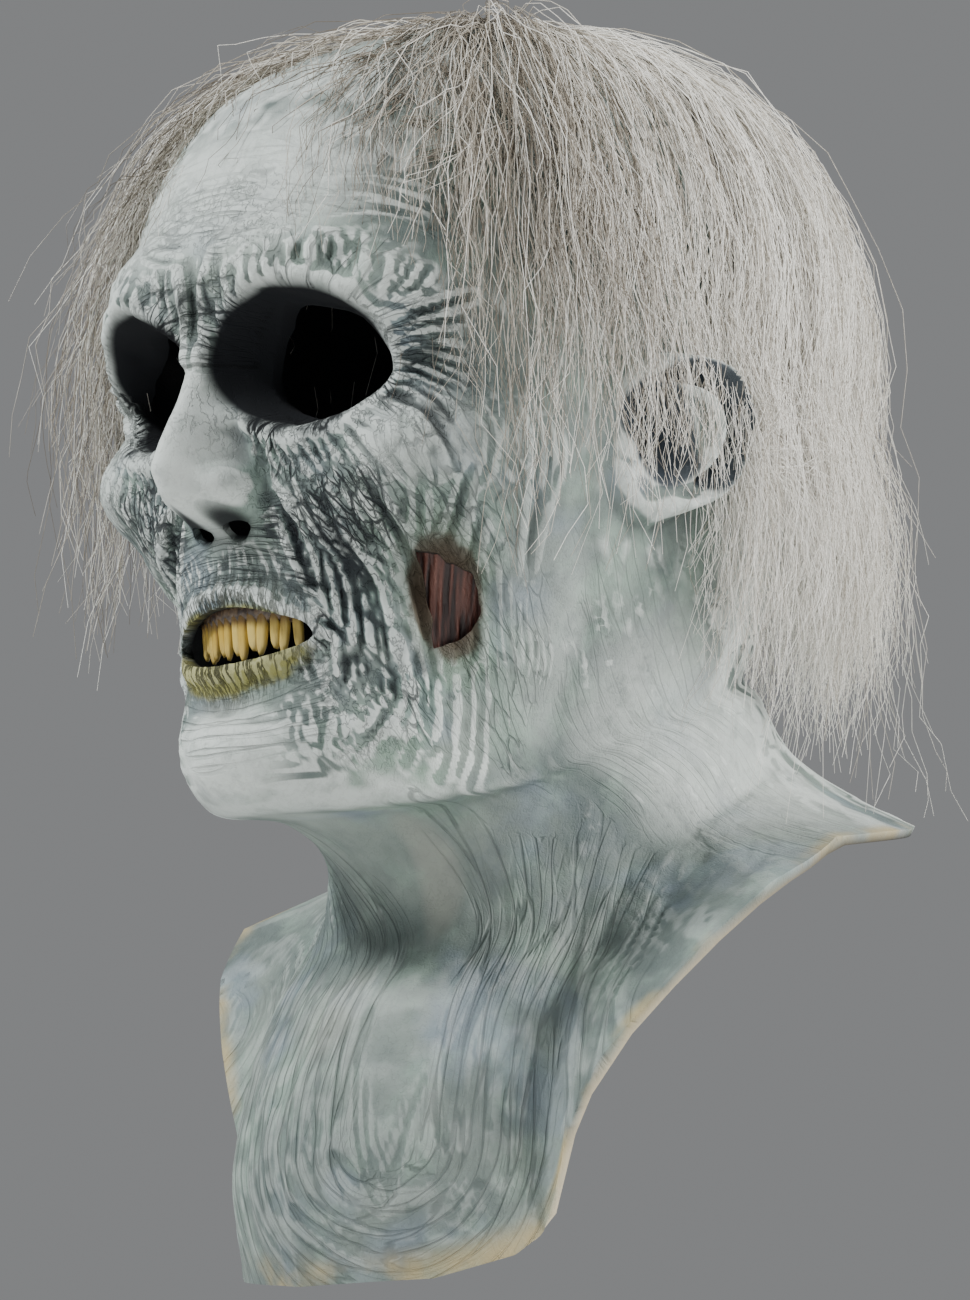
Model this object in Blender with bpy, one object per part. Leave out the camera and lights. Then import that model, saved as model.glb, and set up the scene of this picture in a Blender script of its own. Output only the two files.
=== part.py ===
# A full-head latex ghoul mask with a neck, a chest bib, an open wound, bare teeth and thin hair.
# The origin is inside the crown, where the wearer's head meets it. The face looks along -Y, and +Z is up.

import math

import bmesh
import bpy
import numpy as np

MM = 0.001

# Head and collar
HEAD_HEIGHT = 252 * MM  # chin to crown
HEAD_WIDTH = 170 * MM  # over the temples
HEAD_DEPTH = 242 * MM  # forehead to the back of the head
NECK_WIDTH = 128 * MM
NECK_DEPTH = 144 * MM
SHOULDER_WIDTH = 228 * MM  # over the hem at the shoulders
BIB_DROP = 136 * MM  # chin to the bottom of the bib
WALL = 3 * MM  # latex

# Face
EYE_SPACING = 69 * MM
SOCKET_WIDTH = 55 * MM
SOCKET_HEIGHT = 47 * MM
SOCKET_DEPTH = 15 * MM
EYE_HOLE_WIDTH = 42 * MM
EYE_HOLE_HEIGHT = 34 * MM
NOSE_PROJECTION = 22.5 * MM
NOSE_WIDTH = 33 * MM
NOSTRIL_WIDTH = 8 * MM
MOUTH_WIDTH = 58 * MM
MOUTH_GAPE = 17 * MM
WOUND_WIDTH = 18 * MM
WOUND_HEIGHT = 27 * MM
EAR_WIDTH = 50 * MM
EAR_HEIGHT = 47 * MM
EAR_FLARE = 17 * MM

# Teeth, flesh and hair
TOOTH_COUNT = 10
TOOTH_HEIGHT = 13 * MM
TOOTH_THICKNESS = 4.5 * MM
GUM_HEIGHT = 7 * MM
FLESH_THICKNESS = 3 * MM
FLESH_MARGIN = 5 * MM  # how far the flesh runs on behind the wound's edge
FIT_GAP = 0.9 * MM  # between the latex and what is glued behind it
TOOTH_GAP = 1.1 * MM  # between the lips' back and the teeth
HAIR_GAP = 3 * MM  # hair root to scalp
HAIR_THICKNESS = 7 * MM
LOCK_RIDGE = 3 * MM
HAIR_LIFT = 20 * MM  # how far the hanging locks stand off the head

HALF_WIDTH = HEAD_WIDTH / 2
HALF_DEPTH = HEAD_DEPTH / 2
HALF_MEAN = (HALF_WIDTH + HALF_DEPTH) / 2
CHIN_Z = WALL - HEAD_HEIGHT

# A row for each section of the head, from the crown down. The heights are percent of HEAD_HEIGHT above
# the chin, at the front and the back of a section that is cut on a slant. The middle is percent of half
# the depth behind the crown. The reaches from it are percent of half the depth at the front and back,
# of half the width at the side, and of the mean of both between them. The cells are how many rows of
# faces lie above the section, on the outer and on the inner skin.
HEAD_SECTIONS = (
    # name, front height, back height, middle, front, quarter, side, rear, back, outer cells, inner cells
    ("cap", 98.8, 98.8, -1.6, 24, 26.5, 30, 27.5, 24, 1, 1),
    ("top", 95.3, 95.3, -5, 47, 52, 57.5, 53, 47, 1, 1),
    ("upper skull", 88.4, 88.4, -6.5, 71, 78, 81.5, 80, 73, 2, 1),
    ("high forehead", 79.5, 79, -6.5, 86, 92, 94, 95, 90, 2, 1),
    ("forehead", 70.5, 69, -6.5, 94.5, 98.5, 100, 101.5, 100, 2, 1),
    ("brow", 61.2, 58, -8, 97, 102, 100, 102, 103, 3, 2),
    ("eyes", 51.5, 47.3, -9.7, 90, 100.5, 99, 98.5, 100, 5, 4),
    ("cheekbone", 42, 38, -11.3, 87, 102, 96.5, 93, 93.5, 5, 3),
    ("nose base", 32.5, 32.5, -11.3, 83.5, 92.5, 92, 89, 87, 5, 3),
    ("mouth", 22, 28.7, -9.7, 83, 80.5, 85, 85, 82, 4, 4),
    ("lower lip", 15.5, 26.4, -8, 85, 74.5, 80.5, 82.5, 79, 2, 2),
    ("chin", 6.2, 24.4, -6.5, 90, 68, 76, 79, 76.5, 3, 3),
    ("chin bottom", 1.2, 22.9, -3.2, 84.5, 64.5, 73.5, 75, 74, 2, 2),
)
# The same for the neck, with reaches as percent of half its depth, half its width and their mean.
NECK_SECTIONS = (
    # name, front height, back height, middle, front, quarter, side, rear, back, outer cells, inner cells
    ("under chin", 0.4, 21.3, 6.5, 114, 93, 98, 110, 114, 2, 2),
    ("throat", -4.7, 19.4, 16, 100, 96, 100, 104, 103, 1, 1),
    ("neck", -11.6, 17, 17.7, 100, 99, 103, 107, 108, 2, 1),
)
# A row for each direction of the hem. The angle is in degrees from the front. The reach is percent of
# half SHOULDER_WIDTH, the height percent of BIB_DROP above the chin, and the belly says how far the
# surface swells out (plus) or falls in (minus) between the neck and the hem.
HEM = (
    # angle, reach, height, belly
    (0, 74.5, -100, 0.62),
    (30, 71, -98.5, 0.5),
    (47, 68.5, -93.5, 0.32),
    (53, 67.5, -89, 0.28),
    (55, 69.5, -82, 0.2),
    (57, 73, -68, 0.12),
    (62, 79, -53, 0),
    (70, 86, -40, -0.06),
    (78, 94, -27, -0.12),
    (88, 100, -14, -0.16),
    (108, 97, -2, -0.17),
    (142, 112, 5, -0.16),
    (158, 122, 9, -0.15),
    (180, 118, 10.5, -0.14),
)
HEM_MIDDLE = 2.5  # percent of half the depth behind the crown
COLLAR_RINGS = 4
COLLAR_CELLS = 2
COLUMN_BANDS = (
    # from, to (degrees), cells of the outer skin, cells of the inner skin
    (0, 50, 12, 10),
    (50, 62, 2, 1),
    (62, 98, 9, 4),
    (98, 180, 5, 3),
)

# The places of the features. Heights are percent of HEAD_HEIGHT above the chin.
EYE_HEIGHT = 52
MOUTH_HEIGHT = 20.8
WOUND_ANGLE = 41  # degrees from the front, on the wearer's left
WOUND_PLACE = 24.5
EAR_PLACE = 45.5
EAR_MIDDLE = -15  # percent of half the depth behind the crown
EAR_LEAN = 12  # degrees
EAR_SWEEP = 0.25  # how far it leans back for each unit outwards

# The nose by height: its projection as percent of NOSE_PROJECTION,
# and its breadth as percent of NOSE_WIDTH.
NOSE = (
    # height, projection, breadth
    (61, 0, 70),
    (55.5, 14, 62),
    (49, 48, 68),
    (43, 84, 88),
    (39.5, 100, 100),
    (36.5, 86, 106),
    (33, 0, 106),
)
# The ear's relief from its middle to its rim: the share of the radius and the percent of EAR_FLARE.
EAR_RELIEF = ((0, -15), (0.35, 0), (0.6, 50), (0.86, 100), (1.0, 85), (1.2, 0))

# Modelled forms, each an oval dab. Front dabs lie across the face, side dabs along the head's depth.
# Across is percent of half the width (front), or of half the depth behind the crown (side). Wide and push
# are percent of half the width, and height and tall are percent of HEAD_HEIGHT. The push is outwards.
FORMS = (
    # name, side, across, height, wide, tall, push
    ("brow ridge", "front", 40, 63, 44, 8, 7),
    ("outer brow", "front", 72, 57, 24, 9, 6),
    ("frown", "front", 0, 58, 12, 5, -2.5),
    ("cheekbone", "front", 74, 41, 24, 7, 7),
    ("cheek hollow", "front", 56, 27, 24, 9, -7),
    ("muzzle", "front", 0, 21, 38, 10, 3.5),
    ("chin ball", "front", 0, 7, 24, 7, 4),
    ("under lip", "front", 0, 13, 26, 2.6, -3.5),
    ("temple", "side", -52, 63, 26, 8, -6),
    ("jaw corner", "side", -35, 19, 22, 6, 3),
)
# Modelled folds, each a line of points. Width and push are percent of half the width.
FOLDS = (
    ("upper lip", ((0, 27.2, 6, 3), (18, 26, 6, 3), (36, 22, 5, 1))),
    ("lower lip", ((0, 16.6, 7, 4), (18, 17, 7, 4), (36, 20.5, 5, 1.5))),
    ("smile fold", ((24, 35, 7, -3), (42, 27, 7, -4), (48, 18, 7, -3), (44, 10, 6, -1))),
    ("smile roll", ((34, 35, 8, 2), (53, 27, 8, 3), (58, 17, 8, 3), (52, 9, 6, 1))),
    ("upper lid", ((14, 55, 7, 2), (34, 60.5, 7, 2), (58, 58, 7, 2))),
    ("lower lid", ((14, 46, 7, 2), (36, 43.5, 7, 2.5), (58, 46, 7, 2))),
)
# The main tendons of the neck: the angle and height at the jaw and at the collar, and the push.
TENDONS = (
    # top angle, top height, bottom angle, bottom height, width, push
    (24, -2, 12, -30, 9, 3.5),
    (52, 6, 22, -26, 10, 4.5),
    (84, 14, 62, -14, 12, 3),
)

# The hair's edge on the scalp: the angle from the front, and how many sections lie above it.
HAIRLINE = ((0, 2.2), (30, 2.8), (45, 4.2), (58, 5.2), (75, 5.6), (110, 6.2), (180, 6.8))
# The hanging locks of one side, from the temple to the nape: the angle, half the width in degrees, the
# tip's height as percent of HEAD_HEIGHT above the chin, and how far it stands off, percent of HAIR_LIFT.
LOCKS = (
    # angle, half width, tip height, lift
    (43, 6, 42, 125),
    (58, 6, 40, 75),
    (74, 6.5, 61, 50),
    (89, 6.5, 61, 50),
    (105, 7, 34, 85),
    (121, 7, 18, 110),
    (138, 7, 15, 115),
    (155, 7, 18, 110),
    (172, 6.5, 20, 100),
)
HAIR_FRONT_ANGLES = (-32, -16, 0, 16, 32)
SCALP_CELLS = 6
LOCK_CELLS = 4


def curve_through(knots, values, at):
    """A smooth curve through values at knots, read at the places given."""
    knots = np.asarray(knots, float)
    values = np.asarray(values, float)
    at = np.asarray(at, float)
    slopes = np.gradient(values, knots, axis=0)
    index = np.clip(np.searchsorted(knots, at, side="right") - 1, 0, len(knots) - 2)
    span = knots[index + 1] - knots[index]
    share = (at - knots[index]) / span
    shape = (-1,) + (1,) * (values.ndim - 1)
    share = share.reshape(shape)
    span = span.reshape(shape)
    rise = 3 * share**2 - 2 * share**3
    ends = (1 - rise) * values[index] + rise * values[index + 1]
    bends = (share**3 - 2 * share**2 + share) * slopes[index] + (share**3 - share**2) * slopes[index + 1]
    return ends + span * bends


def ramp(low, high, value):
    share = np.clip((value - low) / (high - low), 0, 1)
    return share * share * (3 - 2 * share)


def above_chin(percent):
    return CHIN_Z + percent / 100 * HEAD_HEIGHT


def section_ring(row, angles, half_width, half_depth):
    """One level of the head or neck, at the angles given in radians."""
    _, front_height, back_height, middle, front, quarter, side, rear, back, *_ = row
    half_mean = (half_width + half_depth) / 2
    stations = np.radians((0, 45, 90, 135, 180))
    reaches = np.array((front, quarter, side, rear, back)) / 100
    reaches = reaches * (half_depth, half_mean, half_width, half_mean, half_depth)
    waves = np.arange(len(stations))
    weights = np.linalg.solve(np.cos(np.outer(stations, waves)), reaches)
    reach = np.cos(np.outer(angles, waves)) @ weights
    slant = (1 + np.cos(angles)) / 2
    height = back_height + (front_height - back_height) * slant
    return np.stack(
        (
            reach * np.sin(angles),
            middle / 100 * HALF_DEPTH - reach * np.cos(angles),
            above_chin(height),
        ),
        axis=-1,
    )


def hem_ring(angles):
    """The mask's lower edge, and how the collar swells above it."""
    table = np.array(HEM, float)
    turn = np.abs(np.degrees(angles))
    reach, height, belly = (np.interp(turn, table[:, 0], table[:, k]) for k in (1, 2, 3))
    reach = reach / 100 * SHOULDER_WIDTH / 2
    points = np.stack(
        (
            reach * np.sin(angles),
            HEM_MIDDLE / 100 * HALF_DEPTH - reach * np.cos(angles),
            CHIN_Z + height / 100 * BIB_DROP,
        ),
        axis=-1,
    )
    return points, belly[:, None]


def control_rings(angles):
    """Every section from the crown to the hem."""
    pole = np.tile((0.0, 0.0, WALL), (len(angles), 1))
    rings = [pole]
    rings += [section_ring(row, angles, HALF_WIDTH, HALF_DEPTH) for row in HEAD_SECTIONS]
    rings += [section_ring(row, angles, NECK_WIDTH / 2, NECK_DEPTH / 2) for row in NECK_SECTIONS]
    neck = rings[-1]
    hem, belly = hem_ring(angles)
    for k in range(1, COLLAR_RINGS + 1):
        share = k / COLLAR_RINGS
        out = share + belly * 4 * share * (1 - share)
        ring = neck + (hem - neck) * share
        ring[:, :2] = neck[:, :2] + (hem[:, :2] - neck[:, :2]) * out
        rings.append(ring)
    return np.array(rings)


def lofted(angles, levels):
    """The plain head at levels counted in sections from the crown, and at the angles given in radians."""
    rings = control_rings(angles)
    steps = np.linalg.norm(np.diff(rings, axis=0), axis=2).mean(axis=1)
    knots = np.concatenate(((0,), np.cumsum(steps)))
    places = np.interp(levels, np.arange(len(knots)), knots)
    return curve_through(knots, rings, places)


def outward(points):
    """Unit normals of a grid of points whose last axis but one runs round the head."""
    down = np.gradient(points, axis=0)
    around = np.gradient(points, axis=1)
    normal = np.cross(down, around)
    length = np.linalg.norm(normal, axis=2, keepdims=True)
    return normal / np.maximum(length, 1e-12)


def soft(share):
    return np.where(share < 1, (1 - np.minimum(share, 1) ** 2) ** 2, 0)


def front_part(points):
    """1 on the face, falling to 0 at the ears."""
    return ramp(0.05, 0.45, -points[..., 1] / HALF_DEPTH)


def side_part(points):
    return ramp(0.35, 0.7, np.abs(points[..., 0]) / HALF_WIDTH)


def dabbed(points, side, across, height, wide, tall, push):
    if side == "front":
        place = np.abs(points[..., 0]) - across / 100 * HALF_WIDTH
        part = front_part(points)
    else:
        place = points[..., 1] - across / 100 * HALF_DEPTH
        part = side_part(points)
    rise = points[..., 2] - above_chin(height)
    share = np.hypot(place / (wide / 100 * HALF_WIDTH), rise / (tall / 100 * HEAD_HEIGHT))
    amount = push / 100 * HALF_WIDTH * soft(share) * part
    return points + outward(points) * amount[..., None]


def stroked(points, line):
    """A fold pushed out or in along a line of points on both sides of the face."""
    table = np.array(line, float)
    x = np.abs(points[..., 0])
    z = points[..., 2]
    best = np.full(x.shape, np.inf)
    amount = np.zeros(x.shape)
    for start, end in zip(table[:-1], table[1:]):
        x0, x1 = start[0] / 100 * HALF_WIDTH, end[0] / 100 * HALF_WIDTH
        z0, z1 = above_chin(start[1]), above_chin(end[1])
        length = (x1 - x0) ** 2 + (z1 - z0) ** 2
        along = np.clip(((x - x0) * (x1 - x0) + (z - z0) * (z1 - z0)) / length, 0, 1)
        gap = np.hypot(x - x0 - along * (x1 - x0), z - z0 - along * (z1 - z0))
        width = (start[2] + along * (end[2] - start[2])) / 100 * HALF_WIDTH
        push = (start[3] + along * (end[3] - start[3])) / 100 * HALF_WIDTH
        amount = np.where(gap < best, push * soft(gap / width), amount)
        best = np.minimum(best, gap)
    return points + outward(points) * (amount * front_part(points))[..., None]


def with_nose(points, projection):
    table = np.array(NOSE, float)[::-1]
    height = (points[..., 2] - CHIN_Z) / HEAD_HEIGHT * 100
    push = np.interp(height, table[:, 0], table[:, 1]) / 100 * projection
    breadth = np.interp(height, table[:, 0], table[:, 2]) / 100 * NOSE_WIDTH / 2
    share = np.abs(points[..., 0]) / breadth
    moved = points.copy()
    moved[..., 1] -= push * soft(share) * front_part(points)
    return moved


def with_sockets(points):
    place = np.abs(points[..., 0]) - EYE_SPACING / 2
    rise = points[..., 2] - above_chin(EYE_HEIGHT)
    share = np.hypot(place / (SOCKET_WIDTH / 2), rise / (SOCKET_HEIGHT / 2))
    moved = points.copy()
    moved[..., 1] += SOCKET_DEPTH * (1 - ramp(0.55, 1.05, share)) * front_part(points)
    return moved


def with_ears(points):
    lean = math.radians(EAR_LEAN)
    y = (points[..., 1] - EAR_MIDDLE / 100 * HALF_DEPTH) / (EAR_WIDTH / 2)
    z = (points[..., 2] - above_chin(EAR_PLACE)) / (EAR_HEIGHT / 2)
    back = y * math.cos(lean) + z * math.sin(lean)
    up = z * math.cos(lean) - y * math.sin(lean)
    share = np.hypot(back, up)
    table = np.array(EAR_RELIEF, float)
    relief = np.interp(share, table[:, 0], table[:, 1]) / 100
    lobe = 0.62 * (1 - ramp(0.8, 1.1, share))
    relief = relief + (lobe - relief) * (1 - ramp(-0.75, -0.4, up))
    flare = EAR_FLARE * (0.4 + 0.6 * ramp(-1, 0.8, back))
    amount = relief * flare * side_part(points)
    moved = points.copy()
    moved[..., 0] += np.sign(points[..., 0]) * amount
    moved[..., 1] += EAR_SWEEP * amount
    return moved


def with_tendons(points):
    turn = np.abs(np.degrees(np.arctan2(points[..., 0], HALF_DEPTH * 0.25 - points[..., 1])))
    height = (points[..., 2] - CHIN_Z) / HEAD_HEIGHT * 100
    amount = np.zeros(turn.shape)
    for top_angle, top, bottom_angle, bottom, width, push in TENDONS:
        along = (top - height) / (top - bottom)
        centre = top_angle + (bottom_angle - top_angle) * along
        fade = ramp(-0.3, 0.15, along) * (1 - ramp(0.7, 1.2, along))
        amount = amount + push / 100 * HALF_WIDTH * soft(np.abs(turn - centre) / width) * fade
    return points + outward(points) * amount[..., None]


def modelled(points, inside=False):
    """The plain head with its features. The inner wall follows the large ones alone."""
    for _, *form in FORMS:
        points = dabbed(points, *form)
    points = with_nose(points, NOSE_PROJECTION)
    points = with_sockets(points)
    if inside:
        return points
    for _, line in FOLDS:
        points = stroked(points, line)
    points = with_tendons(points)
    return with_ears(points)


def column_angles(skin):
    """The directions of the columns, from -180 degrees round, for the outer (0) or the inner skin (1)."""
    half = [0.0]
    for start, end, *cells in COLUMN_BANDS:
        half += [start + (end - start) * (k + 1) / cells[skin] for k in range(cells[skin])]
    return np.radians([-a for a in half[:0:-1]] + half[:-1])


def row_levels(skin):
    """The levels of the rows in sections from the crown, for the outer (0) or inner skin (1)."""
    cells = [row[-2 + skin] for row in HEAD_SECTIONS + NECK_SECTIONS] + [COLLAR_CELLS] * COLLAR_RINGS
    levels = [0.0]
    for index, count in enumerate(cells):
        levels += [index + (k + 1) / count for k in range(count)]
    return np.array(levels)


def skin_grid(skin):
    """The outer (0) or the inner (1) surface of the latex, row by row."""
    angles = column_angles(skin)
    padded = np.concatenate((angles[-2:] - 2 * math.pi, angles, angles[:2] + 2 * math.pi))
    points = modelled(lofted(padded, row_levels(skin)), inside=skin == 1)
    if skin == 1:
        points = points - outward(points) * WALL
    points[0] = (0, 0, 0 if skin == 1 else WALL)
    return points[:, 2:-2]


def new_object(name, mesh, colour, roughness, metallic=0.0):
    mesh.name = name
    part = bpy.data.objects.new(name, mesh)
    material = bpy.data.materials.new(name)
    material.use_nodes = True
    shader = material.node_tree.nodes["Principled BSDF"]
    shader.inputs["Base Color"].default_value = (*colour, 1)
    shader.inputs["Roughness"].default_value = roughness
    shader.inputs["Metallic"].default_value = metallic
    mesh.materials.append(material)
    bpy.context.scene.collection.objects.link(part)
    return part


def grid_faces(first, rows, columns, wrap):
    """Quads of a grid whose vertices start at first."""
    last = columns if wrap else columns - 1
    return [
        (
            first + i * columns + j,
            first + (i + 1) * columns + j,
            first + (i + 1) * columns + (j + 1) % columns,
            first + i * columns + (j + 1) % columns,
        )
        for i in range(rows - 1)
        for j in range(last)
    ]


def mesh_of(vertices, faces):
    """A mesh with its faces turned outwards."""
    mesh = bpy.data.meshes.new("mesh")
    mesh.from_pydata([tuple(v) for v in vertices], [], faces)
    bm = bmesh.new()
    bm.from_mesh(mesh)
    bmesh.ops.recalc_face_normals(bm, faces=bm.faces)
    bm.to_mesh(mesh)
    bm.free()
    mesh.shade_smooth()
    mesh.set_sharp_from_angle(angle=math.radians(50))
    return mesh


def stitched(first, angles, other_first, other_angles):
    """Triangles between two closed rings that start at the same angle."""
    turns = list(angles) + [angles[0] + 2 * math.pi]
    other_turns = list(other_angles) + [other_angles[0] + 2 * math.pi]
    a, b = 0, 0
    faces = []
    while a < len(angles) or b < len(other_angles):
        here = first + a % len(angles)
        there = other_first + b % len(other_angles)
        if b == len(other_angles) or (a < len(angles) and turns[a + 1] <= other_turns[b + 1]):
            a += 1
            faces.append((here, there, first + a % len(angles)))
        else:
            b += 1
            faces.append((here, there, other_first + b % len(other_angles)))
    return faces


def latex_wall():
    """The closed wall: the outer skin, the inner skin and the hem between them."""
    vertices = []
    faces = []
    hems = []
    for skin in (0, 1):
        grid = skin_grid(skin)
        rows, columns = grid.shape[:2]
        pole = len(vertices)
        vertices.append(grid[0, 0])
        vertices += list(grid[1:].reshape(-1, 3))
        faces += [(pole, pole + 1 + j, pole + 1 + (j + 1) % columns) for j in range(columns)]
        faces += grid_faces(pole + 1, rows - 1, columns, True)
        hems.append(pole + 1 + (rows - 2) * columns)
    faces += stitched(hems[0], column_angles(0), hems[1], column_angles(1))
    return new_object("latex_skin", mesh_of(vertices, faces), (0.66, 0.71, 0.69), 0.6)


def cutter(name, outline, centre, along, reach):
    """A hidden prism through centre, whose outline lies across the direction along."""
    along = np.array(along, float)
    along /= np.linalg.norm(along)
    across = np.cross((0, 0, 1), along)
    across /= np.linalg.norm(across)
    up = np.cross(along, across)
    ring = np.array([centre + across * a + up * b for a, b in outline])
    count = len(ring)
    vertices = list(ring - along * reach) + list(ring + along * reach)
    faces = [(j, (j + 1) % count, count + (j + 1) % count, count + j) for j in range(count)]
    faces += [tuple(range(count)), tuple(range(count, 2 * count))]
    part = bpy.data.objects.new(name, mesh_of(vertices, faces))
    bpy.context.scene.collection.objects.link(part)
    part.hide_render = True
    part.display_type = "WIRE"
    return part


def oval_outline(width, height, sides, lean=0.0):
    """An oval's points, with its outer end dropped by the lean given in radians."""
    turns = [2 * math.pi * k / sides for k in range(sides)]
    flat = [(width / 2 * math.cos(t), height / 2 * math.sin(t)) for t in turns]
    along, up = math.cos(lean), math.sin(lean)
    return [(a * along - b * up, a * up + b * along) for a, b in flat]


def wound_outline():
    """A torn corner: straight and steep towards the mouth, round towards the ear."""
    shares = (
        (-0.5, 0.5),
        (-0.15, 0.42),
        (0.3, 0.28),
        (0.5, 0.0),
        (0.38, -0.26),
        (0.02, -0.42),
        (-0.2, -0.5),
        (-0.32, 0.0),
    )
    return [(a * WOUND_WIDTH, b * WOUND_HEIGHT) for a, b in shares]


def surface_point(angle, height):
    """The plain head's point at an angle in radians and a height above the chin in percent."""
    levels = np.linspace(1, len(HEAD_SECTIONS), 400)
    line = lofted(np.array((angle, angle + 0.01)), levels)[:, 0]
    return line[np.argmin(np.abs(line[:, 2] - above_chin(height)))]


def cut(part, tool):
    step = part.modifiers.new(tool.name, "BOOLEAN")
    step.operation = "DIFFERENCE"
    step.solver = "EXACT"
    step.object = tool


def cut_openings(skin):
    """The eye holes, nostrils, mouth and cheek wound."""
    for side in (-1, 1):
        eye = np.array((side * EYE_SPACING / 2, -HALF_DEPTH * 0.8, above_chin(EYE_HEIGHT)))
        outline = oval_outline(EYE_HOLE_WIDTH, EYE_HOLE_HEIGHT, 20)
        cut(skin, cutter(f"eye_cutter_{side}", outline, eye, (side * 0.12, -1, 0), HALF_DEPTH * 0.4))
        nostril = np.array((side * NOSE_WIDTH * 0.22, -HALF_DEPTH * 0.93, above_chin(34)))
        outline = oval_outline(NOSTRIL_WIDTH, NOSTRIL_WIDTH * 0.8, 10)
        cut(skin, cutter(f"nostril_cutter_{side}", outline, nostril, (0, -0.75, -0.66), WALL * 3))
    mouth = np.array((0, -HALF_DEPTH * 0.95, above_chin(MOUTH_HEIGHT)))
    cut(skin, cutter("mouth_cutter", mouth_outline(), mouth, (0, -1, 0), HALF_DEPTH * 0.3))
    angle = math.radians(WOUND_ANGLE)
    wound = surface_point(angle, WOUND_PLACE)
    outwards = (math.sin(angle), -math.cos(angle), 0)
    cut(skin, cutter("wound_cutter", wound_outline(), wound, outwards, WALL * 4))


def mouth_outline():
    """A slack mouth: the upper lip drawn up in the middle, the corners low and narrow."""
    turns = [2 * math.pi * k / 20 for k in range(20)]
    outline = []
    for turn in turns:
        across = MOUTH_WIDTH / 2 * math.cos(turn)
        rise = MOUTH_GAPE / 2 * math.copysign(abs(math.sin(turn)) ** 1.2, math.sin(turn))
        outline.append((across, rise))
    return outline


def slab_of(outer, inner):
    """A closed solid between two grids of the same size."""
    rows, columns = outer.shape[:2]
    count = rows * columns
    vertices = list(outer.reshape(-1, 3)) + list(inner.reshape(-1, 3))
    faces = grid_faces(0, rows, columns, False) + grid_faces(count, rows, columns, False)
    edge = [j for j in range(columns)]
    edge += [i * columns + columns - 1 for i in range(1, rows)]
    edge += [(rows - 1) * columns + j for j in range(columns - 2, -1, -1)]
    edge += [i * columns for i in range(rows - 2, 0, -1)]
    for a, b in zip(edge, edge[1:] + edge[:1]):
        faces.append((a, b, count + b, count + a))
    return mesh_of(vertices, faces)


def level_at(angle, height):
    """How many sections lie above a height, given as percent above the chin."""
    levels = np.linspace(1, len(HEAD_SECTIONS), 400)
    line = lofted(np.array((angle, angle + 0.01)), levels)[:, 0]
    return levels[np.argmin(np.abs(line[:, 2] - above_chin(height)))]


def cheek_flesh():
    """The raw flesh that shows in the wound, on the inside of the cheek."""
    centre = math.radians(WOUND_ANGLE)
    across = (WOUND_WIDTH / 2 + FLESH_MARGIN) / HALF_MEAN
    tall = (WOUND_HEIGHT / 2 + FLESH_MARGIN) / HEAD_HEIGHT * 100
    angles = np.linspace(centre - across * 1.2, centre + across * 1.2, 6)
    top = level_at(centre, WOUND_PLACE + tall)
    bottom = level_at(centre, WOUND_PLACE - tall)
    levels = np.linspace(top, bottom, 6)
    surface = modelled(lofted(angles, levels), inside=True)
    normals = outward(surface)
    outer = surface - normals * (WALL + FIT_GAP)
    inner = outer - normals * FLESH_THICKNESS
    return new_object("cheek_flesh", slab_of(outer, inner), (0.2, 0.07, 0.05), 0.5)


def upper_teeth():
    """The gum behind the upper lip and the row of long teeth that hangs from it."""
    steps = 4
    count = TOOTH_COUNT * steps + 1
    half = math.asin(MOUTH_WIDTH / 2 * 0.86 / (HALF_DEPTH * 0.82))
    angles = np.linspace(-half, half, count)
    level = level_at(0.0, MOUTH_HEIGHT)
    surface = modelled(lofted(angles, np.array((level - 0.05, level, level + 0.05))), inside=True)
    line = surface[1]
    normal = outward(surface)[1]
    normal[:, 2] = 0
    normal /= np.linalg.norm(normal, axis=1, keepdims=True)
    top = above_chin(MOUTH_HEIGHT) + MOUTH_GAPE / 2 + GUM_HEIGHT / 2
    front = line - normal * (WALL + TOOTH_GAP)
    share = np.arange(count) % steps / steps
    bulge = np.sin(math.pi * share) ** 0.5
    gum = top - GUM_HEIGHT
    tip = gum - TOOTH_HEIGHT * (0.62 + 0.38 * bulge)
    ring = (
        # depth behind the front, height
        (np.full(count, 0.0005), np.full(count, top)),
        (np.full(count, 0.0), np.full(count, gum)),
        (0.5 - 0.5 * bulge, gum + (tip - gum) * 0.35),
        (0.55 - 0.35 * bulge, tip),
        (0.9 - 0.1 * bulge, tip),
        (np.full(count, 1.0), np.full(count, gum)),
        (np.full(count, 1.0), np.full(count, top)),
    )
    grid = []
    for depth, height in ring:
        points = front - normal * (depth * TOOTH_THICKNESS)[:, None]
        points[:, 2] = height
        grid.append(points)
    grid = np.array(grid).transpose(1, 0, 2)
    sides = grid.shape[1]
    faces = grid_faces(0, count, sides, True)
    faces += [tuple(range(sides)), tuple(range((count - 1) * sides, count * sides))]
    return new_object("upper_teeth", mesh_of(grid.reshape(-1, 3), faces), (0.72, 0.55, 0.22), 0.35)


def hair_columns():
    """Each column of the hair: its angle, the middle, tip height and lift of its lock, and 1 on a ridge."""
    columns = [(angle, angle, None, 0, 0) for angle in HAIR_FRONT_ANGLES]
    for angle, half, tip, lift in LOCKS:
        for side in (1, -1):
            for step in (-1, 0, 1):
                columns.append((side * angle + step * half, side * angle, tip, lift, 1 - abs(step)))
    return sorted(columns)


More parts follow.
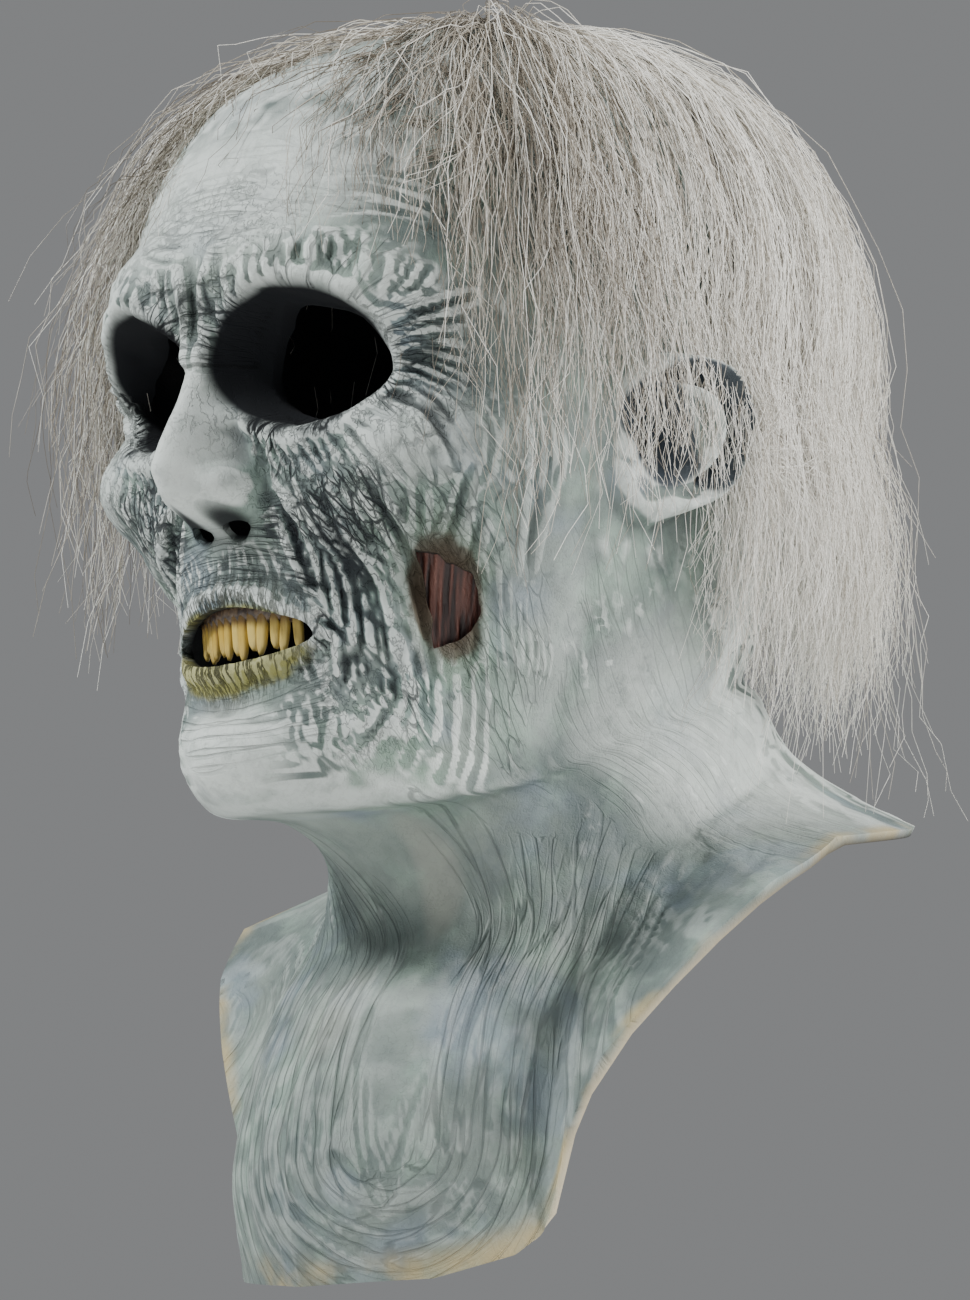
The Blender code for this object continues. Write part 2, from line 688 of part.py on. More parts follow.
def hair():
    """A thin wig: a cap that follows the scalp, and locks that hang from its edge."""
    columns = hair_columns()
    count = len(columns)
    angles = np.radians([c[0] for c in columns])
    hairline = np.array(HAIRLINE, float)
    edge = np.interp(np.abs(np.degrees(angles)), hairline[:, 0], hairline[:, 1])
    vertices = [np.array((0, 0, WALL + HAIR_GAP))]
    thick = [0.5]
    faces = []
    for angle, level in zip(angles, edge):
        levels = level * (np.arange(SCALP_CELLS) + 1) / SCALP_CELLS
        around = np.array((angle - 0.02, angle, angle + 0.02))
        patch = lofted(around, np.concatenate(((levels[0] / 2,), levels)))
        vertices += list(patch[1:, 1] + outward(patch)[1:, 1] * HAIR_GAP)
        back = 0.3 + 0.7 * ramp(0.5, 1.6, abs(angle))
        thick += [0.5 + (back - 0.5) * ramp(0, 1, (i + 1) / SCALP_CELLS) for i in range(SCALP_CELLS)]
    for j in range(count):
        faces.append((0, 1 + j * SCALP_CELLS, 1 + (j + 1) % count * SCALP_CELLS))
        for i in range(SCALP_CELLS - 1):
            a = 1 + j * SCALP_CELLS + i
            b = 1 + (j + 1) % count * SCALP_CELLS + i
            faces.append((a, a + 1, b + 1, b))
    roots = [1 + j * SCALP_CELLS + SCALP_CELLS - 1 for j in range(count)]
    last = roots
    for i in range(LOCK_CELLS):
        share = (i + 1) / LOCK_CELLS
        previous, last = last, [None] * count
        for j, (angle, middle, tip, lift, ridge) in enumerate(columns):
            if tip is None:
                continue
            start = vertices[roots[j]]
            turn = math.radians(middle + (angle - middle) * (1 - 0.8 * share**2))
            reach = math.hypot(start[0], start[1] + HALF_DEPTH * 0.08)
            reach += lift / 100 * HAIR_LIFT * math.sin(math.pi / 2 * share) ** 0.6
            reach += LOCK_RIDGE * ridge * (1 - share)
            height = start[2] + (above_chin(tip) - start[2]) * share
            last[j] = len(vertices)
            back = -HALF_DEPTH * 0.08 - reach * math.cos(turn)
            vertices.append(np.array((reach * math.sin(turn), back, height)))
            thick.append(thick[roots[j]] * (1 - 0.6 * share))
        for j in range(count - 1):
            same_lock = columns[j][2] is not None and columns[j][1] == columns[j + 1][1]
            if same_lock:
                faces.append((previous[j], last[j], last[j + 1], previous[j + 1]))
    part = new_object("hair", mesh_of(vertices, faces), (0.55, 0.52, 0.47), 0.6)
    group = part.vertex_groups.new(name="thickness")
    for index, weight in enumerate(thick):
        group.add([index], float(weight), "REPLACE")
    shell = part.modifiers.new("thickness", "SOLIDIFY")
    shell.thickness = HAIR_THICKNESS
    shell.vertex_group = "thickness"
    shell.offset = 1
    return part


for old in list(bpy.data.objects):
    bpy.data.objects.remove(old)
cut_openings(latex_wall())
cheek_flesh()
upper_teeth()
hair()
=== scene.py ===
# Looks of the ghoul mask: folded latex skin, teeth, raw cheek and long thin hair.
# Lengths are in metres. The face looks along -Y, and angles are counted from the face
# towards the wearer's left.

import math

import bmesh
import bpy
import numpy as np
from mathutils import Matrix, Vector
from mathutils.bvhtree import BVHTree
from mathutils.kdtree import KDTree


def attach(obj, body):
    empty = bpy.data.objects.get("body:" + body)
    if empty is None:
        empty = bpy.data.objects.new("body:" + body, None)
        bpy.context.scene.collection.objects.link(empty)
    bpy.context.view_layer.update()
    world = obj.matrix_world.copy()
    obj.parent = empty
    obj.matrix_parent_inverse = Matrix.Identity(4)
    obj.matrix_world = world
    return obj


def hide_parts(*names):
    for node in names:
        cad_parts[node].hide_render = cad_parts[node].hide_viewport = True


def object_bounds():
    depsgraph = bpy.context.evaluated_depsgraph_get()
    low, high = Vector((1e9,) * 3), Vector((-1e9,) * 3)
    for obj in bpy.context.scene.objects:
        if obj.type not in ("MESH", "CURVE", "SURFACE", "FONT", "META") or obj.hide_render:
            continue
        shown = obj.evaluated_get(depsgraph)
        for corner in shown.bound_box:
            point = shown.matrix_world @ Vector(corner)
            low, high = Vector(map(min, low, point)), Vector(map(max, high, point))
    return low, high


mm = 0.001
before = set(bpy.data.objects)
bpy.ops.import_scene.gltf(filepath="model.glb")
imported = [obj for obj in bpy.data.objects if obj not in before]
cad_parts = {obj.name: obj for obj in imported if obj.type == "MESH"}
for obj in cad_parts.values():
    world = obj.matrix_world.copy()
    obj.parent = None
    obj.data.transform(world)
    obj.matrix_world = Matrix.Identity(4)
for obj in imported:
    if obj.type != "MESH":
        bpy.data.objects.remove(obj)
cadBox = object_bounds()
cadBox = [[float(v) for v in corner] for corner in cadBox]
print("frame loaded")


head = {
    "height": 252 * mm,  # chin to crown
    "halfWidth": 85 * mm,
    "halfDepth": 121 * mm,
    "neckHalfWidth": 64 * mm,
    "neckHalfDepth": 72 * mm,
    "shoulderHalf": 114 * mm,
    "bibDrop": 136 * mm,
    "wall": 3 * mm,
    "columnSteps": ((0, 74, 0.72), (74, 112, 1.3), (112, 180, 3.0)),  # from, to, step in degrees
    "innerColumnSteps": ((0, 60, 3.0), (60, 180, 6.5)),
    "rowSteps": ((0, 4.6, 3.4), (4.6, 13.8, 1.12), (13.8, 20, 1.7)),  # from, to section, step in mm
    "innerRowSteps": ((0, 5, 7), (5, 13, 3.6), (13, 20, 5)),
}
chinZ = head["wall"] - head["height"]

# in percent: heights above the chin (front, back), middle behind the crown, and reach at
# 0, 45, 90, 135 and 180 degrees
headSections = (
    (98.8, 98.8, -1.6, 24, 26.5, 30, 27.5, 24),
    (95.3, 95.3, -5, 47, 52, 57.5, 53, 47),
    (88.4, 88.4, -6.5, 71, 78, 81.5, 80, 73),
    (79.5, 79, -6.5, 86, 92, 94, 95, 90),
    (70.5, 69, -6.5, 94.5, 98.5, 100, 101.5, 100),
    (61.2, 58, -8, 97, 102, 100, 102, 103),
    (51.5, 47.3, -9.7, 90, 100.5, 99, 98.5, 100),
    (42, 38, -11.3, 87, 102, 96.5, 93, 93.5),
    (32.5, 32.5, -11.3, 83.5, 92.5, 92, 89, 87),
    (22, 28.7, -9.7, 83, 80.5, 85, 85, 82),
    (15.5, 26.4, -8, 85, 74.5, 80.5, 82.5, 79),
    (6.2, 24.4, -6.5, 90, 68, 76, 79, 76.5),
    (1.2, 22.9, -3.2, 84.5, 64.5, 73.5, 75, 74),
)
neckSections = (
    (0.4, 21.3, 6.5, 114, 93, 98, 110, 114),
    (-4.7, 19.4, 16, 100, 96, 100, 104, 103),
    (-11.6, 17, 17.7, 100, 99, 103, 107, 108),
)
# angle, reach, height and belly of the hem
hem = (
    (0, 74.5, -100, 0.62),
    (30, 71, -98.5, 0.5),
    (47, 68.5, -93.5, 0.32),
    (53, 67.5, -89, 0.28),
    (55, 69.5, -82, 0.2),
    (57, 73, -68, 0.12),
    (62, 79, -53, 0),
    (70, 86, -40, -0.06),
    (78, 94, -27, -0.12),
    (88, 100, -14, -0.16),
    (108, 97, -2, -0.17),
    (142, 112, 5, -0.16),
    (158, 122, 9, -0.15),
    (180, 118, 10.5, -0.14),
)
lastSection = len(headSections) + len(neckSections) + 4
rng = np.random.default_rng(7)


def ramp(low, high, value):
    share = np.clip((value - low) / (high - low), 0, 1)
    return share * share * (3 - 2 * share)


def soft(share):
    return np.where(share < 1, (1 - np.minimum(share, 1) ** 2) ** 2, 0)


def bump(value, centre, width):
    return soft(np.abs(value - centre) / width)


def aboveChin(percent):
    return chinZ + percent / 100 * head["height"]


def curveThrough(knots, values, at):
    knots, values, at = (np.asarray(a, float) for a in (knots, values, at))
    slopes = np.gradient(values, knots, axis=0)
    index = np.clip(np.searchsorted(knots, at, side="right") - 1, 0, len(knots) - 2)
    span = (knots[index + 1] - knots[index])[:, None, None]
    share = (at - knots[index])[:, None, None] / span
    ends = (2 * share**3 - 3 * share**2 + 1) * values[index]
    ends = ends + (3 * share**2 - 2 * share**3) * values[index + 1]
    bends = (share**3 - 2 * share**2 + share) * slopes[index]
    bends = bends + (share**3 - share**2) * slopes[index + 1]
    return ends + span * bends


# smooth value noise on a wrapped grid of random numbers
noiseTable = rng.random((256, 256))


def noise(u, v, seed=0):
    u = u + seed * 17.37
    v = v + seed * 9.71
    i, j = np.floor(u).astype(int), np.floor(v).astype(int)
    fu, fv = u - i, v - j
    fu, fv = fu * fu * (3 - 2 * fu), fv * fv * (3 - 2 * fv)
    a, b = noiseTable[i & 255, j & 255], noiseTable[(i + 1) & 255, j & 255]
    c, d = noiseTable[i & 255, (j + 1) & 255], noiseTable[(i + 1) & 255, (j + 1) & 255]
    return (a * (1 - fu) + b * fu) * (1 - fv) + (c * (1 - fu) + d * fu) * fv


def creases(across, along, spacing, length, seed, sharp=0.72):
    # long thin grooves: 1 in a groove and 0 between, with the coordinates in mm
    bend = noise(across / length, along / length, seed + 5) * 1.6
    value = noise(across / spacing + bend, along / length, seed)
    ridge = 1 - np.abs(2 * value - 1)
    patches = noise(across / spacing / 3, along / length / 1.5, seed + 9)
    return ramp(sharp, 1.0, ridge) * ramp(0.25, 0.6, patches)


# the plain head is worked out in the same way as in the source
def sectionRing(row, angles, halfWidth, halfDepth):
    frontHeight, backHeight, middle, *reaches = row
    halfMean = (halfWidth + halfDepth) / 2
    stations = np.radians((0, 45, 90, 135, 180))
    reaches = np.array(reaches) / 100 * (halfDepth, halfMean, halfWidth, halfMean, halfDepth)
    waves = np.arange(5)
    reach = np.cos(np.outer(angles, waves)) @ np.linalg.solve(np.cos(np.outer(stations, waves)), reaches)
    height = backHeight + (frontHeight - backHeight) * (1 + np.cos(angles)) / 2
    y = middle / 100 * head["halfDepth"] - reach * np.cos(angles)
    return np.stack((reach * np.sin(angles), y, aboveChin(height)), axis=-1)


def plainHead(angles, levels):
    rings = [np.tile((0.0, 0.0, head["wall"]), (len(angles), 1))]
    rings += [sectionRing(row, angles, head["halfWidth"], head["halfDepth"]) for row in headSections]
    rings += [sectionRing(row, angles, head["neckHalfWidth"], head["neckHalfDepth"]) for row in neckSections]
    table = np.array(hem, float)
    turn = np.abs(np.degrees((angles + math.pi) % (2 * math.pi) - math.pi))
    reach, height, belly = (np.interp(turn, table[:, 0], table[:, k])[:, None] for k in (1, 2, 3))
    reach = reach / 100 * head["shoulderHalf"]
    edge = np.concatenate(
        (
            reach * np.sin(angles)[:, None],
            0.025 * head["halfDepth"] - reach * np.cos(angles)[:, None],
            chinZ + height / 100 * head["bibDrop"],
        ),
        axis=1,
    )
    neck = rings[-1]
    for k in range(1, 5):
        share = k / 4
        out = share + belly * 4 * share * (1 - share)
        ring = neck + (edge - neck) * share
        ring[:, :2] = neck[:, :2] + (edge - neck)[:, :2] * out
        rings.append(ring)
    rings = np.array(rings)
    steps = np.linalg.norm(np.diff(rings, axis=0), axis=2).mean(axis=1)
    knots = np.concatenate(((0,), np.cumsum(steps)))
    return curveThrough(knots, rings, np.interp(levels, np.arange(len(knots)), knots))


def sectionLengths():
    rings = plainHead(np.radians(np.arange(-180, 180, 10.0)), np.arange(lastSection + 1.0))
    return np.linalg.norm(np.diff(rings, axis=0), axis=2).mean(axis=1)


def rowLevels(steps):
    lengths = np.concatenate(((0,), np.cumsum(sectionLengths()))) / mm
    levels = [0.0]
    for start, end, step in steps:
        a, b = np.interp((start, end), np.arange(len(lengths)), lengths)
        places = np.linspace(a, b, max(2, int((b - a) / step) + 1))[1:]
        levels += list(np.interp(places, lengths, np.arange(len(lengths))))
    return np.array(levels)


def columnAngles(steps):
    half = [0.0]
    for start, end, step in steps:
        half += list(np.linspace(start, end, int((end - start) / step) + 2)[1:])
    return np.radians([-a for a in half[:0:-1]] + half[:-1])


def wrapped(angles, extra):
    return np.concatenate((angles[-extra:] - 2 * math.pi, angles, angles[:extra] + 2 * math.pi))


def outward(points):
    normal = np.cross(np.gradient(points, axis=0), np.gradient(points, axis=1))
    return normal / np.maximum(np.linalg.norm(normal, axis=2, keepdims=True), 1e-12)


face = {
    "eyeX": 34.5 * mm,
    "eyeHeight": 52,
    "socketWide": 27.5 * mm,
    "socketTall": 23.5 * mm,
    "socketDepth": 15 * mm,
    "noseOut": 22.5 * mm,
    "noseHalf": 16 * mm,
    "mouthHeight": 20.8,
    "mouthHalf": 29 * mm,
    "mouthGape": 17 * mm,
    "woundAngle": 41,
    "woundHeight": 24.5,
    "earHeight": 45.5,
    "earY": -18.2 * mm,
    "earWide": 50 * mm,
    "earTall": 47 * mm,
    "earFlare": 17 * mm,
    "earLean": 12,
}
# side, across (% of half the width, or half the depth), height, wide, tall, push
forms = (
    ("front", 40, 63, 44, 8, 7),
    ("front", 72, 57, 24, 9, 6),
    ("front", 0, 58, 12, 5, -2.5),
    ("front", 74, 41, 24, 7, 7),
    ("front", 56, 27, 24, 9, -7),
    ("front", 0, 21, 38, 10, 3.5),
    ("front", 0, 7, 24, 7, 4),
    ("front", 0, 13, 26, 2.6, -3.5),
    ("side", -52, 63, 26, 8, -6),
    ("side", -35, 19, 22, 6, 3),
)
# height, projection, breadth of the nose in percent
noseTable = (
    (61, 0, 70),
    (55.5, 14, 60),
    (49, 48, 66),
    (43, 86, 86),
    (39.5, 100, 96),
    (36.5, 90, 98),
    (33, 0, 98),
)
# wing, groove behind it and tip of the nose: across (mm), height (%), half sizes (mm, %), push
# forwards and push apart (mm)
noseSpots = (
    (12, 37.8, 6.8, 3.8, 6.0, 2.0),
    (18.8, 39, 3.4, 4.5, -2.4, 0),
    (0, 39.3, 10, 4.2, 1.8, 0),
)
# rim, furrow and inner ridge of the ear: radius, width and push as shares, the two ends of the
# fade towards the face, and its tilt
earRings = (
    (0.9, 0.18, 0.45, -0.7, 0.0, 0.35),
    (0.71, 0.13, -0.5, -0.1, 0.35, 0.3),
    (0.52, 0.13, 0.3, -0.15, 0.3, 0.1),
)
# small flap before the bowl, and the lobe: back, up, half sizes and push
earSpots = ((-0.78, -0.1, 0.24, 0.24, 0.3), (-0.25, -0.95, 0.4, 0.3, 0.25))
# folds in front of the head's plane: points of x %, height %, width %, push %
rolls = (
    ((0, 26.2, 5.5, 2.6), (16, 25.4, 5.5, 2.4), (34, 21.5, 5, 1)),
    ((0, 16.8, 6, 3.4), (18, 17.2, 6, 3.2), (36, 20.2, 5, 1)),
    ((24, 36, 7, -1.5), (38, 29, 7, -2), (43, 20, 7, -1.5), (42, 12, 6, -0.5)),
    ((34, 36, 8, 2.5), (50, 29, 8, 3), (56, 19, 8, 3), (52, 10, 7, 1.5)),
    ((10, 56.5, 6, 2.5), (34, 62, 7, 3), (60, 59, 7, 2.5), (70, 52, 6, 1.5)),
    ((12, 46, 6, 2), (36, 42.5, 7, 3), (58, 45, 7, 2.5), (68, 50, 6, 1.5)),
    ((3, 53, 4.5, 3), (6, 60, 5, 3.5), (9, 66, 5, 1)),
)


def frontPart(points):
    return ramp(0.05, 0.45, -points[..., 1] / head["halfDepth"])


def sidePart(points):
    return ramp(0.35, 0.7, np.abs(points[..., 0]) / head["halfWidth"])


def dabbed(points, side, across, height, wide, tall, push):
    if side == "front":
        place = np.abs(points[..., 0]) - across / 100 * head["halfWidth"]
        part = frontPart(points)
    else:
        place = points[..., 1] - across / 100 * head["halfDepth"]
        part = sidePart(points)
    rise = points[..., 2] - aboveChin(height)
    share = np.hypot(place / (wide / 100 * head["halfWidth"]), rise / (tall / 100 * head["height"]))
    return points + outward(points) * (push / 100 * head["halfWidth"] * soft(share) * part)[..., None]


def rolled(points, line):
    table = np.array(line, float)
    x, z = np.abs(points[..., 0]), points[..., 2]
    best = np.full(x.shape, np.inf)
    amount = np.zeros(x.shape)
    for start, end in zip(table[:-1], table[1:]):
        x0, z0 = start[0] / 100 * head["halfWidth"], aboveChin(start[1])
        dx, dz = end[0] / 100 * head["halfWidth"] - x0, aboveChin(end[1]) - z0
        along = np.clip(((x - x0) * dx + (z - z0) * dz) / (dx**2 + dz**2), 0, 1)
        gap = np.hypot(x - x0 - along * dx, z - z0 - along * dz)
        width, push = ((start[k] + along * (end[k] - start[k])) / 100 * head["halfWidth"] for k in (2, 3))
        amount = np.where(gap < best, push * soft(gap / width), amount)
        best = np.minimum(best, gap)
    return points + outward(points) * (amount * frontPart(points))[..., None]


def socketShare(points):
    place = np.abs(points[..., 0]) - face["eyeX"]
    rise = points[..., 2] - aboveChin(face["eyeHeight"])
    return np.hypot(place / face["socketWide"], rise / face["socketTall"])


def sunkEyes(points):
    moved = points.copy()
    moved[..., 1] += face["socketDepth"] * (1 - ramp(0.55, 1.02, socketShare(points))) * frontPart(points)
    return moved


def withNose(points, inside):
    table = np.array(noseTable, float)[::-1]
    height = (points[..., 2] - chinZ) / head["height"] * 100
    push = np.interp(height, table[:, 0], table[:, 1]) / 100 * face["noseOut"]
    breadth = np.interp(height, table[:, 0], table[:, 2]) / 100 * face["noseHalf"]
    moved = points.copy()
    part = frontPart(points)
    moved[..., 1] -= push * soft(np.abs(points[..., 0]) / breadth) * part
    if inside:
        return moved
    x = np.abs(points[..., 0]) / mm
    for across, rise, wide, tall, out, apart in noseSpots:
        spot = soft(np.hypot((x - across) / wide, (height - rise) / tall)) * mm * part
        moved[..., 1] -= spot * out
        moved[..., 0] += np.sign(points[..., 0]) * spot * apart
    return moved


def withEars(points):
    lean = math.radians(face["earLean"])
    y = (points[..., 1] - face["earY"]) / (face["earWide"] / 2)
    z = (points[..., 2] - aboveChin(face["earHeight"])) / (face["earTall"] / 2)
    back = y * math.cos(lean) + z * math.sin(lean)
    up = z * math.cos(lean) - y * math.sin(lean)
    low = np.clip(-up, 0, 1.4)
    share = np.hypot(back + 0.16 * low, up * np.where(up < 0, 0.94, 1))
    openFront = soft(np.hypot((back + 1.05) / 0.62, (up - 0.25) / 0.95))
    bowlShare = np.hypot((back + 0.26 + 0.14 * up) / 0.5, (up - 0.02) / 0.7)
    relief = 0.6 * (1 - ramp(0.9, 1.1, share)) * (1 - 0.9 * openFront)
    relief -= 0.85 * (1 - ramp(0.45, 1.0, bowlShare))
    for radius, width, push, start, end, tilt in earRings:
        relief += push * bump(share, radius, width) * ramp(start, end, back + tilt * up)
    for place, rise, wide, tall, push in earSpots:
        relief += push * soft(np.hypot((back - place) / wide, (up - rise) / tall))
    flare = face["earFlare"] * (0.42 + 0.62 * ramp(-1, 0.8, back))
    amount = relief * flare * sidePart(points)
    moved = points.copy()
    moved[..., 0] += np.sign(points[..., 0]) * amount
    moved[..., 1] += 0.25 * amount
    # dark hollows of the ear: the bowl, and the furrow inside the rim
    bowl = 1 - ramp(0.85, 1.2, bowlShare)
    furrow = bump(share, 0.76, 0.21) * ramp(-0.15, 0.25, back + 0.3 * up)
    return moved, np.clip(bowl + 1.5 * furrow, 0, 1) * sidePart(points)


def modelled(points, inside=False):
    for form in forms:
        points = dabbed(points, *form)
    points = withNose(points, inside)
    points = sunkEyes(points)
    if inside:
        return points, None
    for line in rolls:
        points = rolled(points, line)
    return withEars(points)


# the folds lie on a chart of angle (degrees) and height (% above the chin)
perDegree = 1.83  # mm on the chart for each degree
perPercent = 2.52
strokePoints = 15
grooveShape = {"soft": 1.7, "rim": 0.35, "rimPlace": 2.4, "rimWidth": 1.5, "taper": 0.45}

# bundles of grooves between two guide lines: count, groove half width and depth in mm, wobble
# in mm, mirrored
bundles = (
    # forehead furrows
    (((0, 74.6), (6, 74.9), (13, 76.5)), ((0, 65), (7, 65.6), (15, 68)), 7, 0.9, 1.1, 1.2, True),
    (((13, 77), (24, 78), (34, 76)), ((17, 68), (28, 70), (40, 68)), 6, 1.0, 0.7, 2.2, True),
    # frown
    (((1.2, 65), (1.0, 60), (1.6, 54.5)), ((6.5, 66), (5.6, 60.5), (8.5, 54.5)), 4, 1.0, 1.3, 0.7, True),
    (((6.5, 62.5), (8, 59), (11.5, 55)), ((13.5, 64.5), (14, 61.5), (17, 59)), 5, 1.0, 1.9, 0.6, True),
    (((15, 66), (15.6, 63.5), (16.6, 61)), ((27, 65.5), (27, 63), (26, 61)), 8, 0.9, 1.8, 0.8, True),
    (((27, 65), (28, 62.5), (28, 60)), ((38, 62), (36, 60), (33, 58)), 6, 0.8, 0.9, 0.8, True),
    # crow's feet
    (
        ((31, 54.5), (37, 57), (45, 59.5)),
        ((32, 47), (38, 45.2), (42, 41.5), (44, 37)),
        15, 0.85, 1.5, 1.4, True,
    ),
    # under the eye
    (((8, 46.5), (11, 42), (13, 37.5)), ((29, 45), (34, 41.5), (37, 37.5)), 13, 0.7, 0.75, 2.4, True),
    # beside the nose and down past the mouth
    (
        ((10.5, 38), (12.5, 34.5), (14.5, 30.5), (15.6, 27)),
        ((20.5, 37.5), (23.5, 31), (27.8, 25), (28.8, 19), (28, 14), (25, 10.5)),
        8, 1.1, 1.7, 1.6, True,
    ),
    (((11.5, 41), (15, 37), (18, 33.5)), ((23, 38), (27, 33), (31, 27.5), (33.5, 20)), 7, 0.8, 0.9, 2.2, True),
    # corner of the mouth
    (
        ((19.6, 21.4), (20.6, 18.4), (20, 15.6), (16.5, 12.6)),
        ((29.5, 21), (30, 17), (28.5, 12), (24, 7.5)),
        9, 0.9, 1.1, 1.4, True,
    ),
    # upper lip
    (((0.6, 31), (0.6, 28.6), (0.5, 26.2)), ((13.5, 31), (15.5, 27.6), (17, 24.2)), 14, 0.6, 0.75, 0.5, True),
    # lower lip
    (((0.6, 27.4), (0.6, 26), (0.5, 24.8)), ((14, 26.6), (15.6, 25), (17, 23.4)), 16, 0.5, 0.8, 0.4, True),
    (((0.7, 18.6), (0.7, 16.6), (0.6, 14.6)), ((15, 19), (16, 17.2), (17, 15)), 17, 0.5, 0.85, 0.5, True),
    # chin
    (((3, 13), (9, 12.6), (15, 13.6)), ((6, 4.6), (12, 4.4), (19, 6)), 9, 0.6, 0.5, 2.6, True),
    (((11, 14), (13, 10), (12, 5)), ((23, 13), (24, 9), (20, 4)), 8, 0.6, 0.5, 2.6, True),
    # cheek and jowl
    (
        ((31.5, 22), (33, 16.5), (33, 10.5), (29, 5.5)),
        ((45, 21), (47, 15), (45.5, 8.5), (40, 3.5)),
        9, 0.95, 1.0, 2.2, True,
    ),
    (((33.5, 46), (35, 41), (35.5, 36)), ((50, 46), (50, 40), (46, 34)), 6, 0.8, 0.7, 3.4, True),
    (
        ((52, 50), (56, 43), (57, 36), (56.5, 28)),
        ((60, 46), (61, 40), (59.5, 34), (57.5, 29.5)),
        4, 1.0, 1.0, 1.2, True,
    ),
    (((48, 30), (50, 23), (49, 15)), ((61, 28), (62, 20), (60, 11)), 7, 0.8, 0.6, 3.2, True),
    # middle of the chest
    (((18, -34), (21, -39), (24, -34)), ((11, -25), (20.5, -46), (30, -26)), 6, 0.8, 0.8, 0.7, False),
)
# single deep folds: points, groove half width and depth in mm, which side (1 left, -1 right, 0 both)
deepFolds = (
    (((29.5, 37), (31.5, 33.5), (34, 30), (35.4, 26), (36, 20), (37.5, 14)), 1.5, 2.2, 1),
    (((46, 38.5), (44, 34.5), (41.5, 30)), 1.3, 1.9, 1),
    (((38, 37.5), (37.6, 33.5), (37, 30)), 1.1, 1.3, 1),
    (((48, 33.5), (46.5, 30), (45, 27.5)), 1.2, 1.4, 1),
    (((46.5, 24), (46, 20), (44, 17.5), (40, 16.5)), 1.2, 1.3, 1),
    (((58.5, 37.5), (57.8, 33), (57.2, 28)), 1.5, 1.8, 0),
    (((29, 37), (32, 31), (34, 24), (33, 16)), 1.4, 1.8, -1),
    (((46, 38), (43, 33), (41, 26), (42, 19)), 1.2, 1.4, -1),
    (((0.2, 63.5), (0.6, 59), (0.3, 55)), 1.3, 1.8, 0),
    (((17.8, 21.8), (20.4, 21.2), (22.6, 19)), 1.2, 1.8, 0),
)
# middle of the eye and half sizes in mm
chartEye = (19.5, 52.3, 24.5, 20.5)
# the chest's lines gather round this direction and run down into nested bows
chest = {"centre": 21.0, "throat": 5.0, "bowHeight": -37.0, "spacing": 5.6, "length": 46.0}


def strokeLine(points, seedValue, wobble):
    # a guide line as a fine run of points in mm on the chart
    line = np.array(points, float) * (perDegree, perPercent)
    at = np.linspace(0, 1, strokePoints)
    fine = curveThrough(np.linspace(0, 1, len(line)), line[:, None, :], at)[:, 0]
    drift = noise(at * 3.1, np.full(strokePoints, seedValue * 3.7), 3) - 0.5
    other = noise(at * 2.3, np.full(strokePoints, seedValue * 5.3), 8) - 0.5
    return fine + np.stack((drift, other), axis=1) * wobble * 1.5


def resampled(points, count):
    points = np.array(points, float)
    at, knots = np.linspace(0, 1, count), np.linspace(0, 1, len(points))
    return np.stack([np.interp(at, knots, points[:, k]) for k in (0, 1)], axis=1)


def engraved(p, q, groove, rim, line, half, depth):
    # lowers the chart along a line, with a soft rim on both sides
    low, high = line.min(axis=0) - half * 4, line.max(axis=0) + half * 4
    within = (p > low[0]) & (p < high[0]) & (q > low[1]) & (q < high[1])
    if not within.any():
        return
    x, y = p[within], q[within]
    best, place = np.full(x.shape, 1e9), np.zeros(x.shape)
    for k, (a, b) in enumerate(zip(line[:-1], line[1:])):
        step = b - a
        size = max(step @ step, 1e-9)
        along = np.clip(((x - a[0]) * step[0] + (y - a[1]) * step[1]) / size, 0, 1)
        gap = np.hypot(x - a[0] - along * step[0], y - a[1] - along * step[1])
        place = np.where(gap < best, (k + along) / (len(line) - 1), place)
        best = np.minimum(best, gap)
    shape = grooveShape
    taper = np.clip(np.sin(math.pi * np.clip(place, 0.02, 0.98)), 0, 1) ** shape["taper"]
    edge = shape["rim"] * bump(best / half, shape["rimPlace"], shape["rimWidth"])
    groove[within] = np.maximum(groove[within], depth * taper * soft(best / (half * shape["soft"])))
    rim[within] = np.maximum(rim[within], depth * taper * edge)


